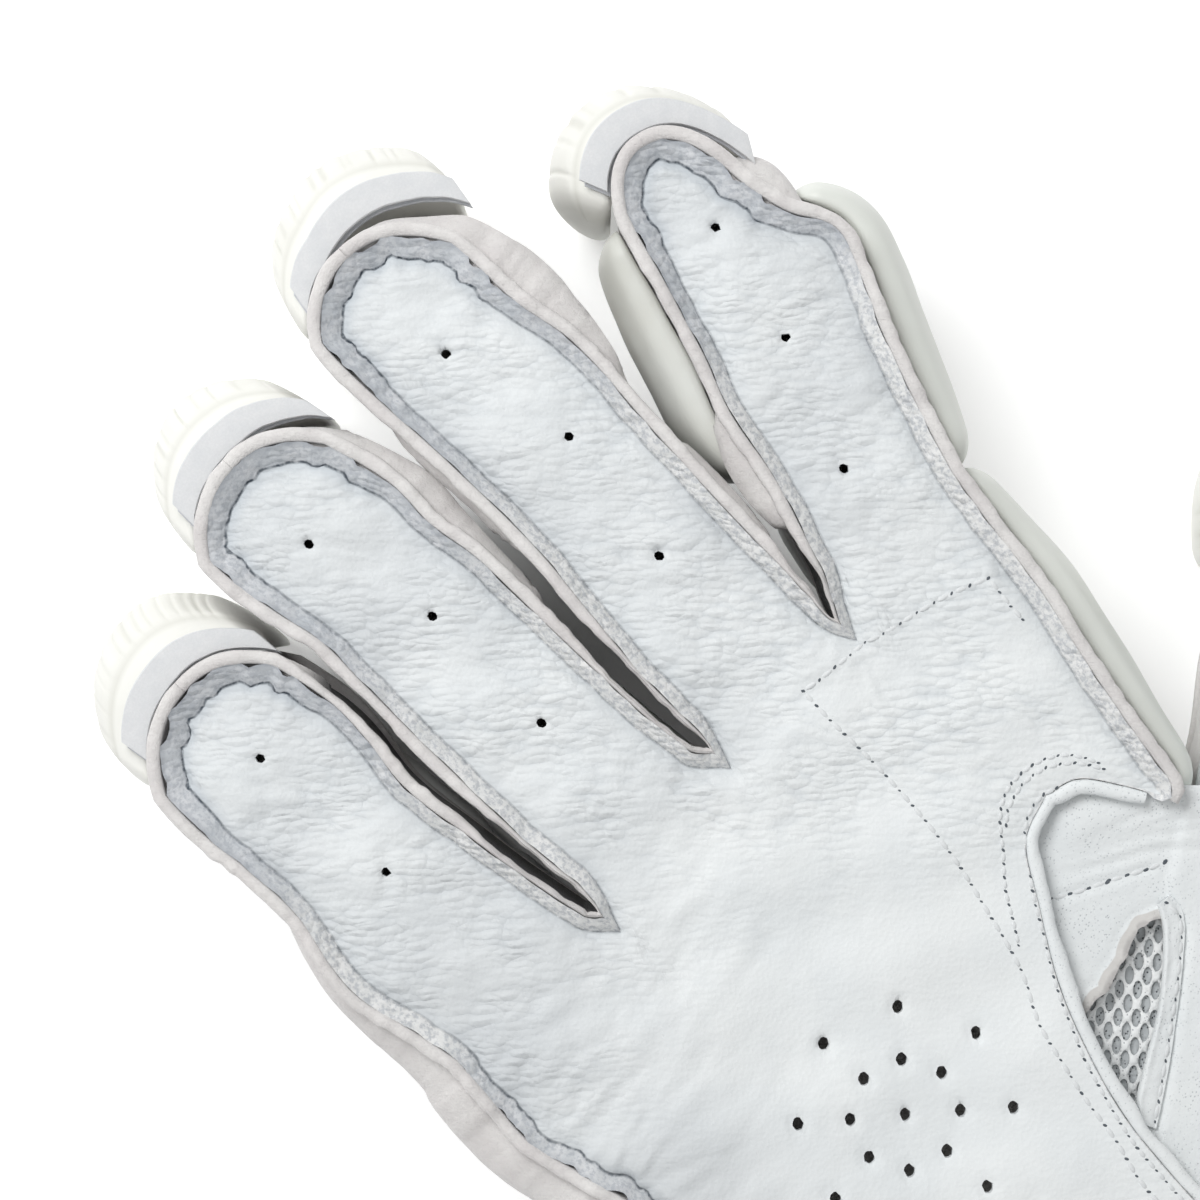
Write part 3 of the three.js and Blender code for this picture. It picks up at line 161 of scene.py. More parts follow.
def cubic(a, b, ta, tb, t):
    """Curve from a to b that leaves along ta and comes in along tb."""
    return ((2 * t**3 - 3 * t**2 + 1) * a + (t**3 - 2 * t**2 + t) * ta
            + (3 * t**2 - 2 * t**3) * b + (t**3 - t**2) * tb)


def hermite(a, b, ta, tb, t):
    """Places along a cubic curve."""
    return cubic(a, b, ta, tb, np.asarray(t, float)[:, None])


def eased(rows, column, x):
    """Smooth curve through a column of a table whose first column is the place."""
    xs = np.array([r[0] for r in rows])
    ys = np.array([r[column] for r in rows])
    low = np.maximum(np.arange(len(xs)) - 1, 0)
    high = np.minimum(np.arange(len(xs)) + 1, len(xs) - 1)
    slope = (ys[high] - ys[low]) / (xs[high] - xs[low])
    i = np.clip(np.searchsorted(xs, x), 1, len(xs) - 1)
    span = xs[i] - xs[i - 1]
    t = np.clip((x - xs[i - 1]) / span, 0, 1)
    return cubic(ys[i - 1], ys[i], span * slope[i - 1], span * slope[i], t)


def smooth_line(points, count):
    """Even points on a smooth line through the given ones."""
    p = np.array(points, float)
    p = np.vstack([2 * p[0] - p[1], p, 2 * p[-1] - p[-2]])
    fine = []
    for k in range(1, len(p) - 2):
        a, b, c, d = p[k - 1], p[k], p[k + 1], p[k + 2]
        e0 = math.sqrt(np.linalg.norm(b - a))
        e1 = math.sqrt(np.linalg.norm(c - b))
        e2 = math.sqrt(np.linalg.norm(d - c))
        m1 = e1 * ((b - a) / e0 - (c - a) / (e0 + e1) + (c - b) / e1)
        m2 = e1 * ((c - b) / e1 - (d - b) / (e1 + e2) + (d - c) / e2)
        t = np.linspace(0, 1, 60, endpoint=False)[:, None]
        fine.append(cubic(b, c, m1, m2, t))
    fine = np.vstack(fine + [p[-2:-1]])
    run = np.concatenate([[0], np.cumsum(np.linalg.norm(np.diff(fine, axis=0), axis=1))])
    at = np.linspace(0, run[-1], count + 1)
    return np.stack([np.interp(at, run, fine[:, k]) for k in range(fine.shape[1])], axis=1)


for finger in FINGERS:
    angle = math.radians(finger["turn"])
    finger["base"] = np.array([finger["x"], finger["y"]])
    finger["up"] = np.array([math.sin(angle), math.cos(angle)])
    finger["side"] = np.array([math.cos(angle), -math.sin(angle)])


def on_finger(f, along, right):
    along = np.asarray(along, float)[..., None]
    right = np.asarray(right, float)[..., None]
    return f["base"] + f["up"] * along + f["side"] * right


def finger_node(f, row, u):
    """Place on a finger panel; row runs from 0 to 1 and u from -1 to 1."""
    row, u = np.broadcast_arrays(np.asarray(row, float), np.asarray(u, float))
    share = FIRST_ROW + (1 - FIRST_ROW) * row
    tip = np.where(u < 0, f["tip_left"], f["tip_right"])
    drop = tip * np.abs(u) ** 2.4 * smooth(0.55, 1, share)
    rows = PANELS[f["name"]]
    half = HALF * np.where(u < 0, eased(rows, 1, share), eased(rows, 2, share))
    return on_finger(f, share * f["length"] - drop, u * half)


# The seam runs clockwise round the palm panel. Each station has its place, kind and sizes.
class Seam:
    """Stations round the palm panel, held as arrays with one value for each station."""

    def __init__(self):
        self.places = []
        self.kinds = []
        self.fingers = []
        self.shares = []
        self.leans = []

    def add(self, places, kind, finger=-1, share=0.0, lean=0.0):
        n = len(places)
        self.places.append(np.asarray(places, float))
        self.kinds += [kind] * n
        self.fingers += [finger] * n
        self.shares += list(np.broadcast_to(share, n))
        self.leans += list(np.broadcast_to(lean, n))

    def close(self):
        self.xy = np.vstack(self.places)
        self.kind = np.array(self.kinds)
        self.finger = np.array(self.fingers)
        self.share = np.array(self.shares)
        self.lean = np.array(self.leans)
        step = np.linalg.norm(np.roll(self.xy, -1, axis=0) - self.xy, axis=1)
        self.run = np.concatenate([[0], np.cumsum(step)[:-1]])
        self.total = step.sum()


def around(values, run, total, reach):
    """Running mean round the seam over a length either way."""
    values = np.asarray(values, float)
    flat = values.reshape(len(values), -1)
    at = np.concatenate([run - total, run, run + total])
    wide = np.vstack([flat, flat, flat])
    even = np.arange(-reach * 2, total + reach * 2, 0.4)
    grid = np.stack([np.interp(even, at, wide[:, k]) for k in range(flat.shape[1])], axis=1)
    n = max(int(reach / 0.4), 1)
    kernel = np.hanning(2 * n + 3)[1:-1]
    kernel /= kernel.sum()
    grid = np.stack([np.convolve(grid[:, k], kernel, "same") for k in range(flat.shape[1])], axis=1)
    out = np.stack([np.interp(run, even, grid[:, k]) for k in range(flat.shape[1])], axis=1)
    return out.reshape(values.shape)


left_top = finger_node(FINGERS[0], 0, -1)
side_top = finger_node(FINGERS[3], 0, 1)
left_upper = smooth_line([left_top, *LEFT_UPPER], UPPER_ROWS)
left_lower = smooth_line([LEFT_UPPER[-1], *LEFT_LOWER], LOWER_ROWS)
hand_side = smooth_line([side_top, *HAND_SIDE], UPPER_ROWS)
rim_upper = smooth_line([HAND_SIDE[-1], *RIM_UPPER], RIM_CELLS)
rim_lower = smooth_line([RIM_UPPER[-1], *RIM_LOWER], LOWER_ROWS)

TOP_CELLS = 4 * ACROSS + 3 * 2 * CROTCH_CELLS
LOW_CELLS = TOP_CELLS - RIM_CELLS
rows = np.arange(ROWS + 1) / ROWS
across = np.linspace(-1, 1, ACROSS + 1)
CROTCH_LEFT = np.array([math.sin(math.radians(35)), -math.cos(math.radians(35))])
CROTCH_RIGHT = np.array([math.sin(math.radians(22)), math.cos(math.radians(22))])


def crotch_lines(k):
    """Seam from the last row of a finger down to the foot of the slot and up the next one."""
    a = finger_node(FINGERS[k], 0, 1)
    b = finger_node(FINGERS[k + 1], 0, -1)
    foot = np.array(SLOTS[k])
    t = np.arange(1, CROTCH_CELLS) / CROTCH_CELLS
    down = np.linalg.norm(foot - a)
    up = np.linalg.norm(b - foot)
    left = hermite(a, foot, -FINGERS[k]["up"] * down, CROTCH_LEFT * down, t)
    right = hermite(foot, b, CROTCH_RIGHT * up, FINGERS[k + 1]["up"] * up, t)
    return left, foot, right, t


seam = Seam()
seam.add(left_lower[::-1], "little_side", lean=3.5)
seam.add(left_upper[::-1][1:-1], "little_side", lean=4.4)
for k, f in enumerate(FINGERS):
    left_lean = np.interp(rows, [r[0] for r in LEANS[f["name"]]], [r[1] for r in LEANS[f["name"]]])
    right_lean = np.interp(rows, [r[0] for r in LEANS[f["name"]]], [r[2] for r in LEANS[f["name"]]])
    seam.add(finger_node(f, rows, -1), "left", k, rows, left_lean)
    tip_t = np.arange(1, ACROSS) / ACROSS
    seam.add(finger_node(f, 1, across[1:-1]), "tip", k, 1.0, lerp(left_lean[-1], right_lean[-1], tip_t**2))
    seam.add(finger_node(f, rows[::-1], 1), "right", k, rows[::-1], right_lean[::-1])
    if k < 3:
        left, foot, right, t = crotch_lines(k)
        seam.add(left, "crotch_left", k, t)
        seam.add([foot], "slot", k)
        seam.add(right, "crotch_right", k, t)
seam.add(hand_side[1:], "hand_side", share=np.arange(1, UPPER_ROWS + 1) / UPPER_ROWS, lean=2.0)
seam.add(rim_upper[1:], "rim")
seam.add(rim_lower[1:], "rim")
wrist_line = lerp(left_lower[-1], rim_lower[-1], (np.arange(LOW_CELLS + 1) / LOW_CELLS)[:, None])
seam.add(wrist_line[1:-1][::-1], "wrist")
seam.close()


def finish_seam():
    """Outward ways, flange widths and heights of the stations."""
    s = seam
    tangent = np.roll(s.xy, -1, axis=0) - np.roll(s.xy, 1, axis=0)
    tangent /= np.linalg.norm(tangent, axis=1)[:, None]
    tangent = around(tangent, s.run, s.total, 2.2)
    tangent /= np.linalg.norm(tangent, axis=1)[:, None]
    s.normal = np.stack([-tangent[:, 1], tangent[:, 0]], axis=1)
    s.is_side = np.isin(s.kind, ["left", "right"])
    s.is_crotch = np.isin(s.kind, ["crotch_left", "crotch_right", "slot"])
    flange = np.full(len(s.xy), FLANGE)
    flange[s.kind == "tip"] = FLANGE_TIP
    flange[s.is_side] = lerp(FLANGE, FLANGE_TIP, smooth(0.7, 1, s.share[s.is_side]))
    room = np.full(len(s.xy), 99.0)
    for k in range(3):
        mine = (s.finger == k) & (s.kind == "right")
        other = (s.finger == k + 1) & (s.kind == "left")
        gap = np.linalg.norm(s.xy[mine][:, None] - s.xy[other][None], axis=2)
        room[mine] = np.minimum(room[mine], gap.min(axis=1))
        room[other] = np.minimum(room[other], gap.min(axis=0))
    flange = np.minimum(flange, room / 2 - SLOT_HALF)
    s.room = room
    edge_kinds = np.isin(s.kind, ["rim", "wrist"])
    flange[edge_kinds] = RIM_FLANGE
    flange = around(flange, s.run, s.total, 1.6)
    s.lean = around(s.lean, s.run, s.total, 3.0)
    for k in range(3):
        start = np.flatnonzero((s.finger == k) & (s.kind == "crotch_left"))[0] - 1
        end = np.flatnonzero((s.finger == k) & (s.kind == "crotch_right"))[-1] + 1
        a = FINGERS[k]["side"]
        b = -FINGERS[k + 1]["side"]
        for at, way in ((start, a), (end, b)):
            near = np.arange(at - 6, at + 7)
            weight = (1 - np.abs(near - at) / 7)[:, None]
            mixed = lerp(s.normal[near], way, weight)
            s.normal[near] = mixed / np.linalg.norm(mixed, axis=1)[:, None]
        foot = np.array(SLOTS[k])
        inner = foot + np.array([0.0, CROTCH_DEPTH - SLOT_HALF])
        oa = s.xy[start] + s.normal[start] * flange[start]
        ob = s.xy[end] + s.normal[end] * flange[end]
        t = np.arange(1, CROTCH_CELLS) / CROTCH_CELLS
        down = np.linalg.norm(inner - oa)
        up = np.linalg.norm(ob - inner)
        left = hermite(oa, inner, -FINGERS[k]["up"] * down, np.array([0.35, -0.9]) * down, t)
        right = hermite(inner, ob, np.array([0.3, 0.9]) * up, FINGERS[k + 1]["up"] * up, t)
        outer = np.vstack([left, inner, right])
        inside = np.arange(start + 1, end)
        way = outer - s.xy[inside]
        reach = np.linalg.norm(way, axis=1)
        s.normal[inside] = way / reach[:, None]
        flange[inside] = reach
    s.flange = flange
    edge = np.minimum(EDGE_OUT, flange * 0.4)
    s.leather = np.where(edge_kinds, flange, flange - edge)
    s.leather = around(s.leather, s.run, s.total, 0.8)
    s.tip = around(((s.kind == "tip") | (s.is_side & (s.share > 0.88))).astype(float), s.run, s.total, 4)
    s.upper = around(np.where(s.is_side, smooth(0.35, 0.75, s.share), s.kind == "tip"),
                     s.run, s.total, 3)
    s.side = around((s.kind == "little_side").astype(float), s.run, s.total, 6)
    s.plain = around(edge_kinds.astype(float), s.run, s.total, 1.2)
    s.crotch = around(s.is_crotch.astype(float), s.run, s.total, 3)
    wave = noise(s.run / 1.3, 3.3)
    swell = noise(s.run / 4.6, 9.1)
    s.z = PALM_Z + s.tip * (0.3 * wave) + s.side * (0.55 * swell + 0.25 * wave) - 0.6 * s.crotch
    ruffle = 0.35 * noise(s.run / 3.1, 21.7) + 0.3 * noise(s.run / 7.3, 5.5)
    s.rise = (FLANGE_RISE + ruffle * (1 + 0.9 * s.side)) * (1 - s.plain)
    near_slot = smooth(1.6, 0.7, s.room / 2 - s.flange)
    s.tight = np.clip(around(np.maximum(near_slot, s.is_crotch), s.run, s.total, 3.0), 0, 1)
    outer_edge = (s.kind == "little_side") | ((s.kind == "left") & (s.finger == 0))
    y = s.xy[:, 1]
    swell_share = 0.08 + 0.92 * smooth(84, 42, y) * (0.25 + 0.75 * smooth(-30, 0, y))
    s.swell = around(np.where(outer_edge, SIDE_SWELL * swell_share, 0.0), s.run, s.total, 6.0)
    for k, (first, full, most) in enumerate(RIGHT_SWELLS):
        mine = (s.kind == "right") & (s.finger == k)
        s.swell += around(np.where(mine, most * smooth(first, full, s.share), 0.0), s.run, s.total, 4.5)
    for k, kind, first, last, most in INNER_SWELLS:
        mine = (s.kind == kind) & (s.finger == k)
        part = smooth(first, first + 0.1, s.share) * smooth(last, last - 0.18, s.share)
        s.swell += around(np.where(mine, most * part, 0.0), s.run, s.total, 2.2)
    s.close_by = smooth(6.5, 2.0, s.room / 2 - s.flange)
    s.wall_way = lerp(around(s.normal, s.run, s.total, 5.0), s.normal, np.clip(s.crotch * 2, 0, 1)[:, None])
    s.wall_way /= np.linalg.norm(s.wall_way, axis=1)[:, None]
    s.jag = s.tip * 0.75 * wave + s.side * (0.65 * swell + 0.4 * wave)
    s.jag += 0.16 * noise(s.run / 2.4, 14.2) * (1 - s.plain)


finish_seam()


def panel_height(x, y):
    hollow = np.exp(-((x - 2) ** 2) / 900 - ((y - 5) ** 2) / 1400)
    mound = np.exp(-((x + 20) ** 2) / 260 - ((y - 10) ** 2) / 900)
    z = PALM_Z + CROWN - 2.6 * hollow + 1.5 * mound
    return z + 0.25 * np.sin(x * 0.21 + y * 0.33) + 0.2 * np.sin(y * 0.24 - x * 0.12)


def creases(along, over, long, wide, cut):
    """Thin valleys that run the long way: 0 on the swells and 1 in a valley."""
    bend = 0.9 * noise(along / 6.5, over / 5.0) + 0.4 * noise(along / 2.4 + 40, over / 2.0)
    n = noise(along / long, (over + bend) / wide)
    return np.exp(-((n / cut) ** 2))


def leather_relief(x, y, d, run, tip, side, d_side, run_side):
    """Small folds of the palm leather: up is positive."""
    along = 0.68 * x - 0.73 * y
    over = 0.73 * x + 0.68 * y
    finger_zone = smooth(38, 56, y)
    palm_zone = (1 - finger_zone) * smooth(20, -8, x) * smooth(-70, -20, y)
    calm = np.exp(-(x**2 + y**2) / 500)
    drift = 2.2 * noise(x / 17, y / 17 + 3)
    z = -0.20 * creases(along, over + drift, 7.5, 1.75, 0.22) * finger_zone
    z -= 0.13 * creases(along + 31, over + drift, 4.2, 1.15, 0.3) * finger_zone
    z += 0.22 * noise(along / 4.6 + 7, (over + drift) / 2.1) * finger_zone
    lean = y - 0.12 * x
    puckers = 0.20 * noise(x / 7.5, lean / 2.1) - 0.14 * creases(x, lean, 9.0, 2.3, 0.2)
    z += palm_zone * puckers * (1 - calm)
    z += 0.06 * noise(x / 2.3, y / 2.3 + 31) + 0.18 * noise(x / 9, y / 8 + 60)
    for k, foot in enumerate(SLOTS):
        dx = x - foot[0]
        dy = y - foot[1]
        far = np.hypot(dx, dy)
        turn = np.arctan2(dx, -dy)
        rays = noise(turn * 8 + k * 9, far / 14 + 2)
        z += 0.26 * rays * np.exp(-far / 13) * smooth(1.0, 4.0, far) * smooth(2.4, 1.2, np.abs(turn))
    tucks = noise(run / 1.15, d / 9 + 4)
    near_edge = np.exp(-d / 3.4) * smooth(0.2, 1.0, d) * smooth(5.5, 2.5, d)
    z += tucks * near_edge * (0.12 + 0.2 * tip + 0.2 * side)
    bent = run_side + 0.10 * d_side**1.25
    folds = noise(bent / 1.7 + 50, d_side / 15) + 0.6 * noise(bent / 3.6 + 20, d_side / 18)
    valley = creases(d_side, bent, 16.0, 2.0, 0.2)
    reach = smooth(62, 40, y) * smooth(0.3, 2.0, d) * smooth(30, 14, d_side)
    z += (folds * 0.32 * np.exp(-d_side / 13) - 0.36 * valley * np.exp(-d_side / 16)) * reach
    return z


def nearest_on_seam(xy, chosen):
    """Distance to the chosen stretch of the seam, and the place on it as a station number."""
    pts = seam.xy[chosen]
    numbers = np.flatnonzero(chosen)
    out_d = np.empty(len(xy))
    out_i = np.empty(len(xy))
    for a in range(0, len(xy), 4000):
        block = xy[a:a + 4000]
        gap = np.linalg.norm(block[:, None] - pts[None], axis=2)
        near = gap.argmin(axis=1)
        best = gap[np.arange(len(block)), near]
        at = numbers[near].astype(float)
        for step in (-1, 1):
            other = np.clip(near + step, 0, len(pts) - 1)
            beside = numbers[other]
            joined = np.abs(beside - numbers[near]) == 1
            p = pts[near]
            q = pts[other]
            way = q - p
            size = np.maximum((way**2).sum(axis=1), 1e-9)
            t = np.clip(((block - p) * way).sum(axis=1) / size, 0, 1) * joined
            gap2 = np.linalg.norm(block - p - way * t[:, None], axis=1)
            better = gap2 < best
            best = np.where(better, gap2, best)
            at = np.where(better, numbers[near] + step * t, at)
        out_d[a:a + 4000] = best
        out_i[a:a + 4000] = at
    return out_d, out_i


def at_station(values, at):
    low = np.floor(at).astype(int)
    t = at - low
    high = (low + 1) % len(values)
    if values.ndim > 1:
        t = t[:, None]
    return values[low] * (1 - t) + values[high] * t


def grid_faces(ids, flip=False):
    a, b = ids[:-1, :-1], ids[:-1, 1:]
    c, d = ids[1:, 1:], ids[1:, :-1]
    order = (d, c, b, a) if flip else (a, b, c, d)
    return np.stack(order, axis=-1).reshape(-1, 4)


def net_between(top, foot, lefts, rights):
    """Rows of places between two lines, drawn to the true places of their ends."""
    v = (np.arange(1, len(lefts) + 1) / len(lefts))[:, None, None]
    u = np.linspace(0, 1, len(top))[None, :, None]
    plain = lerp(top[None], foot[None], v)
    left = lefts[:, None] - plain[:, :1]
    right = rights[:, None] - plain[:, -1:]
    return plain + (1 - u) * left + u * right


def palm_nets():
    """Places of all net nodes, their faces, and which node each station is."""
    places = []
    faces = []
    start = 0

    def lay(net, flip):
        nonlocal start
        ids = start + np.arange(net.shape[0] * net.shape[1]).reshape(net.shape[:2])
        places.append(net.reshape(-1, 2))
        faces.append(grid_faces(ids, flip))
        start += ids.size

    top = []
    for k, f in enumerate(FINGERS):
        net = finger_node(f, rows[:, None], across[None, :])
        lay(net, False)
        top.append(net[0])
        if k < 3:
            left, foot, right, _ = crotch_lines(k)
            top.append(np.vstack([left, foot, right]))
    top = np.vstack(top)
    crown = rim_upper[-1]
    middle = lerp(left_upper[-1], crown, (np.arange(LOW_CELLS + 1) / LOW_CELLS)[:, None])
    middle = np.vstack([middle, rim_upper[::-1][1:]])
    upper = net_between(top, middle, left_upper[1:], hand_side[1:])
    upper[-1] = middle
    lay(np.concatenate([top[None], upper]), True)
    low_top = middle[:LOW_CELLS + 1]
    lower = net_between(low_top, wrist_line, left_lower[1:], rim_lower[1:])
    lower[-1] = wrist_line
    lay(np.concatenate([low_top[None], lower]), True)
    places = np.vstack(places)
    faces = np.vstack(faces)
    keys = np.round(np.vstack([places, seam.xy]) * 1000).astype(np.int64)
    _, first, inverse = np.unique(keys, axis=0, return_index=True, return_inverse=True)
    inverse = inverse.reshape(-1)
    every = np.vstack([places, seam.xy])
    return every[first], inverse[faces], inverse[len(places):]


def pierce(points, faces, holes):
    """Take out the faces over each (x, y, long, wide, turn) hole and round off its edge."""
    for x, y, long, wide, turn in holes:
        c = math.cos(turn)
        s = math.sin(turn)
        dx = points[:, 0] - x
        dy = points[:, 1] - y
        p = (dx * c + dy * s) / long
        q = (dy * c - dx * s) / wide
        size = np.hypot(p, q)
        middle = size[faces].mean(axis=1)
        gone = middle < 1.0
        if gone.sum() < 2:
            gone = middle <= np.sort(middle)[3]
        rim = np.intersect1d(faces[gone], faces[~gone])
        faces = faces[~gone]
        scale = 1 / np.maximum(size[rim], 1e-6)
        points[rim, 0] = x + dx[rim] * scale
        points[rim, 1] = y + dy[rim] * scale
    return points, faces


def shell_down(points, faces, thick):
    """Close a sheet that faces up with an underside and walls round its edges."""
    n = len(points)
    a = faces.reshape(-1)
    b = np.roll(faces, -1, axis=1).reshape(-1)
    forward = a.astype(np.int64) * n + b
    backward = b.astype(np.int64) * n + a
    edge = ~np.isin(forward, backward)
    a = a[edge]
    b = b[edge]
    walls = np.stack([b, a, a + n, b + n], axis=1)
    below = points.copy()
    below[:, 2] -= thick
    return np.vstack([points, below]), np.vstack([faces, faces[:, ::-1] + n, walls])


pieces = {}
WELD = 0.01


def make_piece(name, points, faces, material, nodes=(), slot=None, attributes=None, angle=60, weld=False):
    """A mesh object from places in millimetres, riding on the frame."""
    used = np.unique(np.concatenate([np.asarray(f).reshape(-1) for f in faces]))
    renumber = np.full(len(points), -1)
    renumber[used] = np.arange(len(used))
    polygons = []
    for block in faces:
        polygons += np.atleast_2d(renumber[np.asarray(block)]).tolist()
    values = {key: np.asarray(v, dtype=np.float32)[used] for key, v in (attributes or {}).items()}
    return make_polygons(name, points[used], polygons, material, nodes, values, angle, weld)


def make_polygons(name, points, polygons, material, nodes=(), attributes=None, angle=60, weld=False):
    mesh = bpy.data.meshes.new(name)
    mesh.from_pydata(((points + SHIFT) * MM).tolist(), [], polygons)
    for key, values in (attributes or {}).items():
        layer = mesh.attributes.new(key, "FLOAT", "POINT")
        layer.data.foreach_set("value", values)
    work = bmesh.new()
    work.from_mesh(mesh)
    if weld:
        bmesh.ops.remove_doubles(work, verts=work.verts, dist=WELD * MM)
        bmesh.ops.dissolve_degenerate(work, edges=work.edges, dist=WELD * MM)
    bmesh.ops.recalc_face_normals(work, faces=work.faces)
    work.to_mesh(mesh)
    work.free()
    piece = bpy.data.objects.new(name, mesh)
    bpy.context.collection.objects.link(piece)
    mesh.materials.append(material)
    bpy.ops.object.select_all(action="DESELECT")
    piece.select_set(True)
    bpy.context.view_layer.objects.active = piece
    bpy.ops.object.shade_smooth_by_angle(angle=math.radians(angle))
    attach(piece, "root")
    if nodes:
        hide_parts(*nodes)
    pieces[name] = piece
    return piece


def make_palm(material):
    """Leather panel of palm and fingers with its turned-up edge and its holes."""
    xy, faces, at_node = palm_nets()
    sewn = ~np.isin(seam.kind, ["rim", "wrist"])
    d, at = nearest_on_seam(xy, sewn)
    d_rim, _ = nearest_on_seam(xy, ~sewn)
    d_side, at_side = nearest_on_seam(xy, seam.kind == "little_side")
    run_side = at_station(seam.run, at_side)
    run = at_station(seam.run, at)
    tip = at_station(seam.tip, at)
    side = at_station(seam.side, at)
    base = at_station(seam.z, at)
    normal = at_station(seam.normal, at)
    jag = at_station(seam.jag, at)
    x, y = xy[:, 0], xy[:, 1]
    z = panel_height(x, y)
    rise = 1 - np.exp(-d / 1.5)
    relief = leather_relief(x, y, d, run, tip, side, d_side, run_side)
    z = lerp(base, z, rise) + relief * smooth(0, 1.2, d)
    z = lerp(PALM_Z, z, 1 - np.exp(-d_rim / 2.5))
    xy = xy + normal * (jag * np.exp(-d / 1.4))[:, None]
    holes = [(hx, hy, FINGER_HOLE_R, FINGER_HOLE_R * 1.15, 0.3) for hx, hy in FINGER_HOLES]
    star = [(0.0, 0.0)]
    for radius in STAR_RINGS:
        for k in range(STAR_HOLES):
            a = math.radians(STAR_TURN + 360 / STAR_HOLES * k)
            star.append((radius * math.cos(a), radius * math.sin(a)))
    holes += [(hx, hy, *STAR_HOLE, math.radians(STAR_HOLE_TURN)) for hx, hy in star]
    for hx, hy, long, _, _ in holes:
        far = np.hypot(xy[:, 0] - hx, xy[:, 1] - hy)
        z -= 0.34 * np.exp(-(((far - long) / 0.55) ** 2)) * (far < long + 2)
    points = np.column_stack([xy, z])
    n = len(points)
    cells = FLANGE_CELLS
    share = np.arange(1, cells + 1) / cells
    seam_points = points[at_node]
    width = seam.leather[:, None] * share
    ripple = 0.10 * noise(seam.run[:, None] / 1.7, share * 2.5 + 3) * (1 - seam.plain)[:, None]
    shape = lerp(share, share**0.75, 0.8)
    flange_xy = seam_points[:, None, :2] + seam.normal[:, None] * (width + 0.3 * ripple)[..., None]
    flange_z = seam_points[:, None, 2] + seam.rise[:, None] * shape + ripple * share
    outer = np.concatenate([flange_xy, flange_z[..., None]], axis=2)
    ids = np.column_stack([at_node, n + np.arange(outer.shape[0] * cells).reshape(-1, cells)])
    ids = np.vstack([ids, ids[:1]])
    strip = grid_faces(ids, True)
    all_points = np.vstack([points, outer.reshape(-1, 3)])
    all_faces = np.vstack([faces, strip])
    ones = np.ones(cells)
    beside_seam = np.exp(-d_side / 15) * smooth(34, 20, d_side)
    shade = 0.36 * smooth(30, 75, y) + 0.62 * beside_seam + 0.22 * np.exp(-d / 5)
    shade *= 1 + 0.5 * noise(x / 11, y / 11 + 40)
    shade = np.clip(shade * smooth(0, 14, np.minimum(d_rim, 14.0)), 0, 0.75)
    attributes = {
        "from_seam": np.concatenate([np.minimum(d, 20), (-width).reshape(-1)]),
        "along_seam": np.concatenate([run, (seam.run[:, None] * ones).reshape(-1)]),
        "tip_part": np.concatenate([tip, (seam.tip[:, None] * ones).reshape(-1)]),
        "upper_part": np.concatenate([at_station(seam.upper, at),
                                      (seam.upper[:, None] * ones).reshape(-1)]),
        "side_part": np.concatenate([side, (seam.side[:, None] * ones).reshape(-1)]),
        "to_edge": np.concatenate([np.full(n, 9.0), (seam.leather[:, None] - width).reshape(-1)]),
        "rim_part": np.concatenate([np.exp(-d_rim / 1.2), (seam.plain[:, None] * ones).reshape(-1)]),
        "shade_part": np.concatenate([shade, np.zeros(cells * len(seam.xy))]),
    }
    all_points, all_faces = pierce(all_points, all_faces, holes)
    all_points, all_faces = shell_down(all_points, all_faces, LEATHER)
    attributes = {key: np.concatenate([v, v]) for key, v in attributes.items()}
    return make_piece("palm_leather_panel", all_points, [all_faces], material, ["palm_leather"],
                      "palm_leather", attributes, 70)


SLOWEST = 0.3  # places of an evened row keep at least this share of the path's pace
EVEN_REACH = 9  # stations on either side that an evened place takes in
EVEN_LEAST = 0.6  # how far every place of such a row is evened


def unfolded(path, xy):
    """Evens rows of places where they would run back along the path."""
    ahead = np.gradient(path, axis=0)
    pace = np.linalg.norm(ahead, axis=1)[:, None] + 1e-9
    ahead /= pace
    step = np.gradient(xy, axis=0)
    speed = (step * ahead[:, None]).sum(axis=2) / pace
    slow = (speed < SLOWEST).astype(float)
    window = 2 * EVEN_REACH + 1

    def mean(values):
        edges = [(EVEN_REACH + 1, EVEN_REACH)] + [(0, 0)] * (values.ndim - 1)
        total = np.cumsum(np.pad(values, edges, mode="edge"), axis=0)
        return (total[window:] - total[:-window]) / window

    weight = np.clip(mean(slow) * 6, EVEN_LEAST, 1)[..., None]
    return lerp(xy, mean(mean(xy)), weight)


def sweep(path, way, sections, name, material, closed_ends=True, even=False, **more):
    """Skin over closed (out, z) outlines that stand along a path; ends closed with a face each."""
    n, m, _ = sections.shape
    xy = path[:, None] + way[:, None] * sections[..., :1]
    if even:
        at = np.arange(n)
        inland = (smooth(2, 20, at) * smooth(n - 3, n - 21, at))[:, None, None]
        xy = lerp(xy, unfolded(path, xy), smooth(4.2, 6.5, np.abs(sections[..., :1])) * inland)
    points = np.concatenate([xy, sections[..., 1:]], axis=2).reshape(-1, 3)
    ids = np.arange(n * m).reshape(n, m)
    ids = np.column_stack([ids, ids[:, :1]])
    faces = [grid_faces(ids)]
    if closed_ends:
        faces += [list(range(m)), list(range((n - 1) * m, n * m))]
    return make_piece(name, points, faces, material, **more)


def station_run(start, end):
    """Station numbers from one to another."""
    return np.arange(start, end + 1)


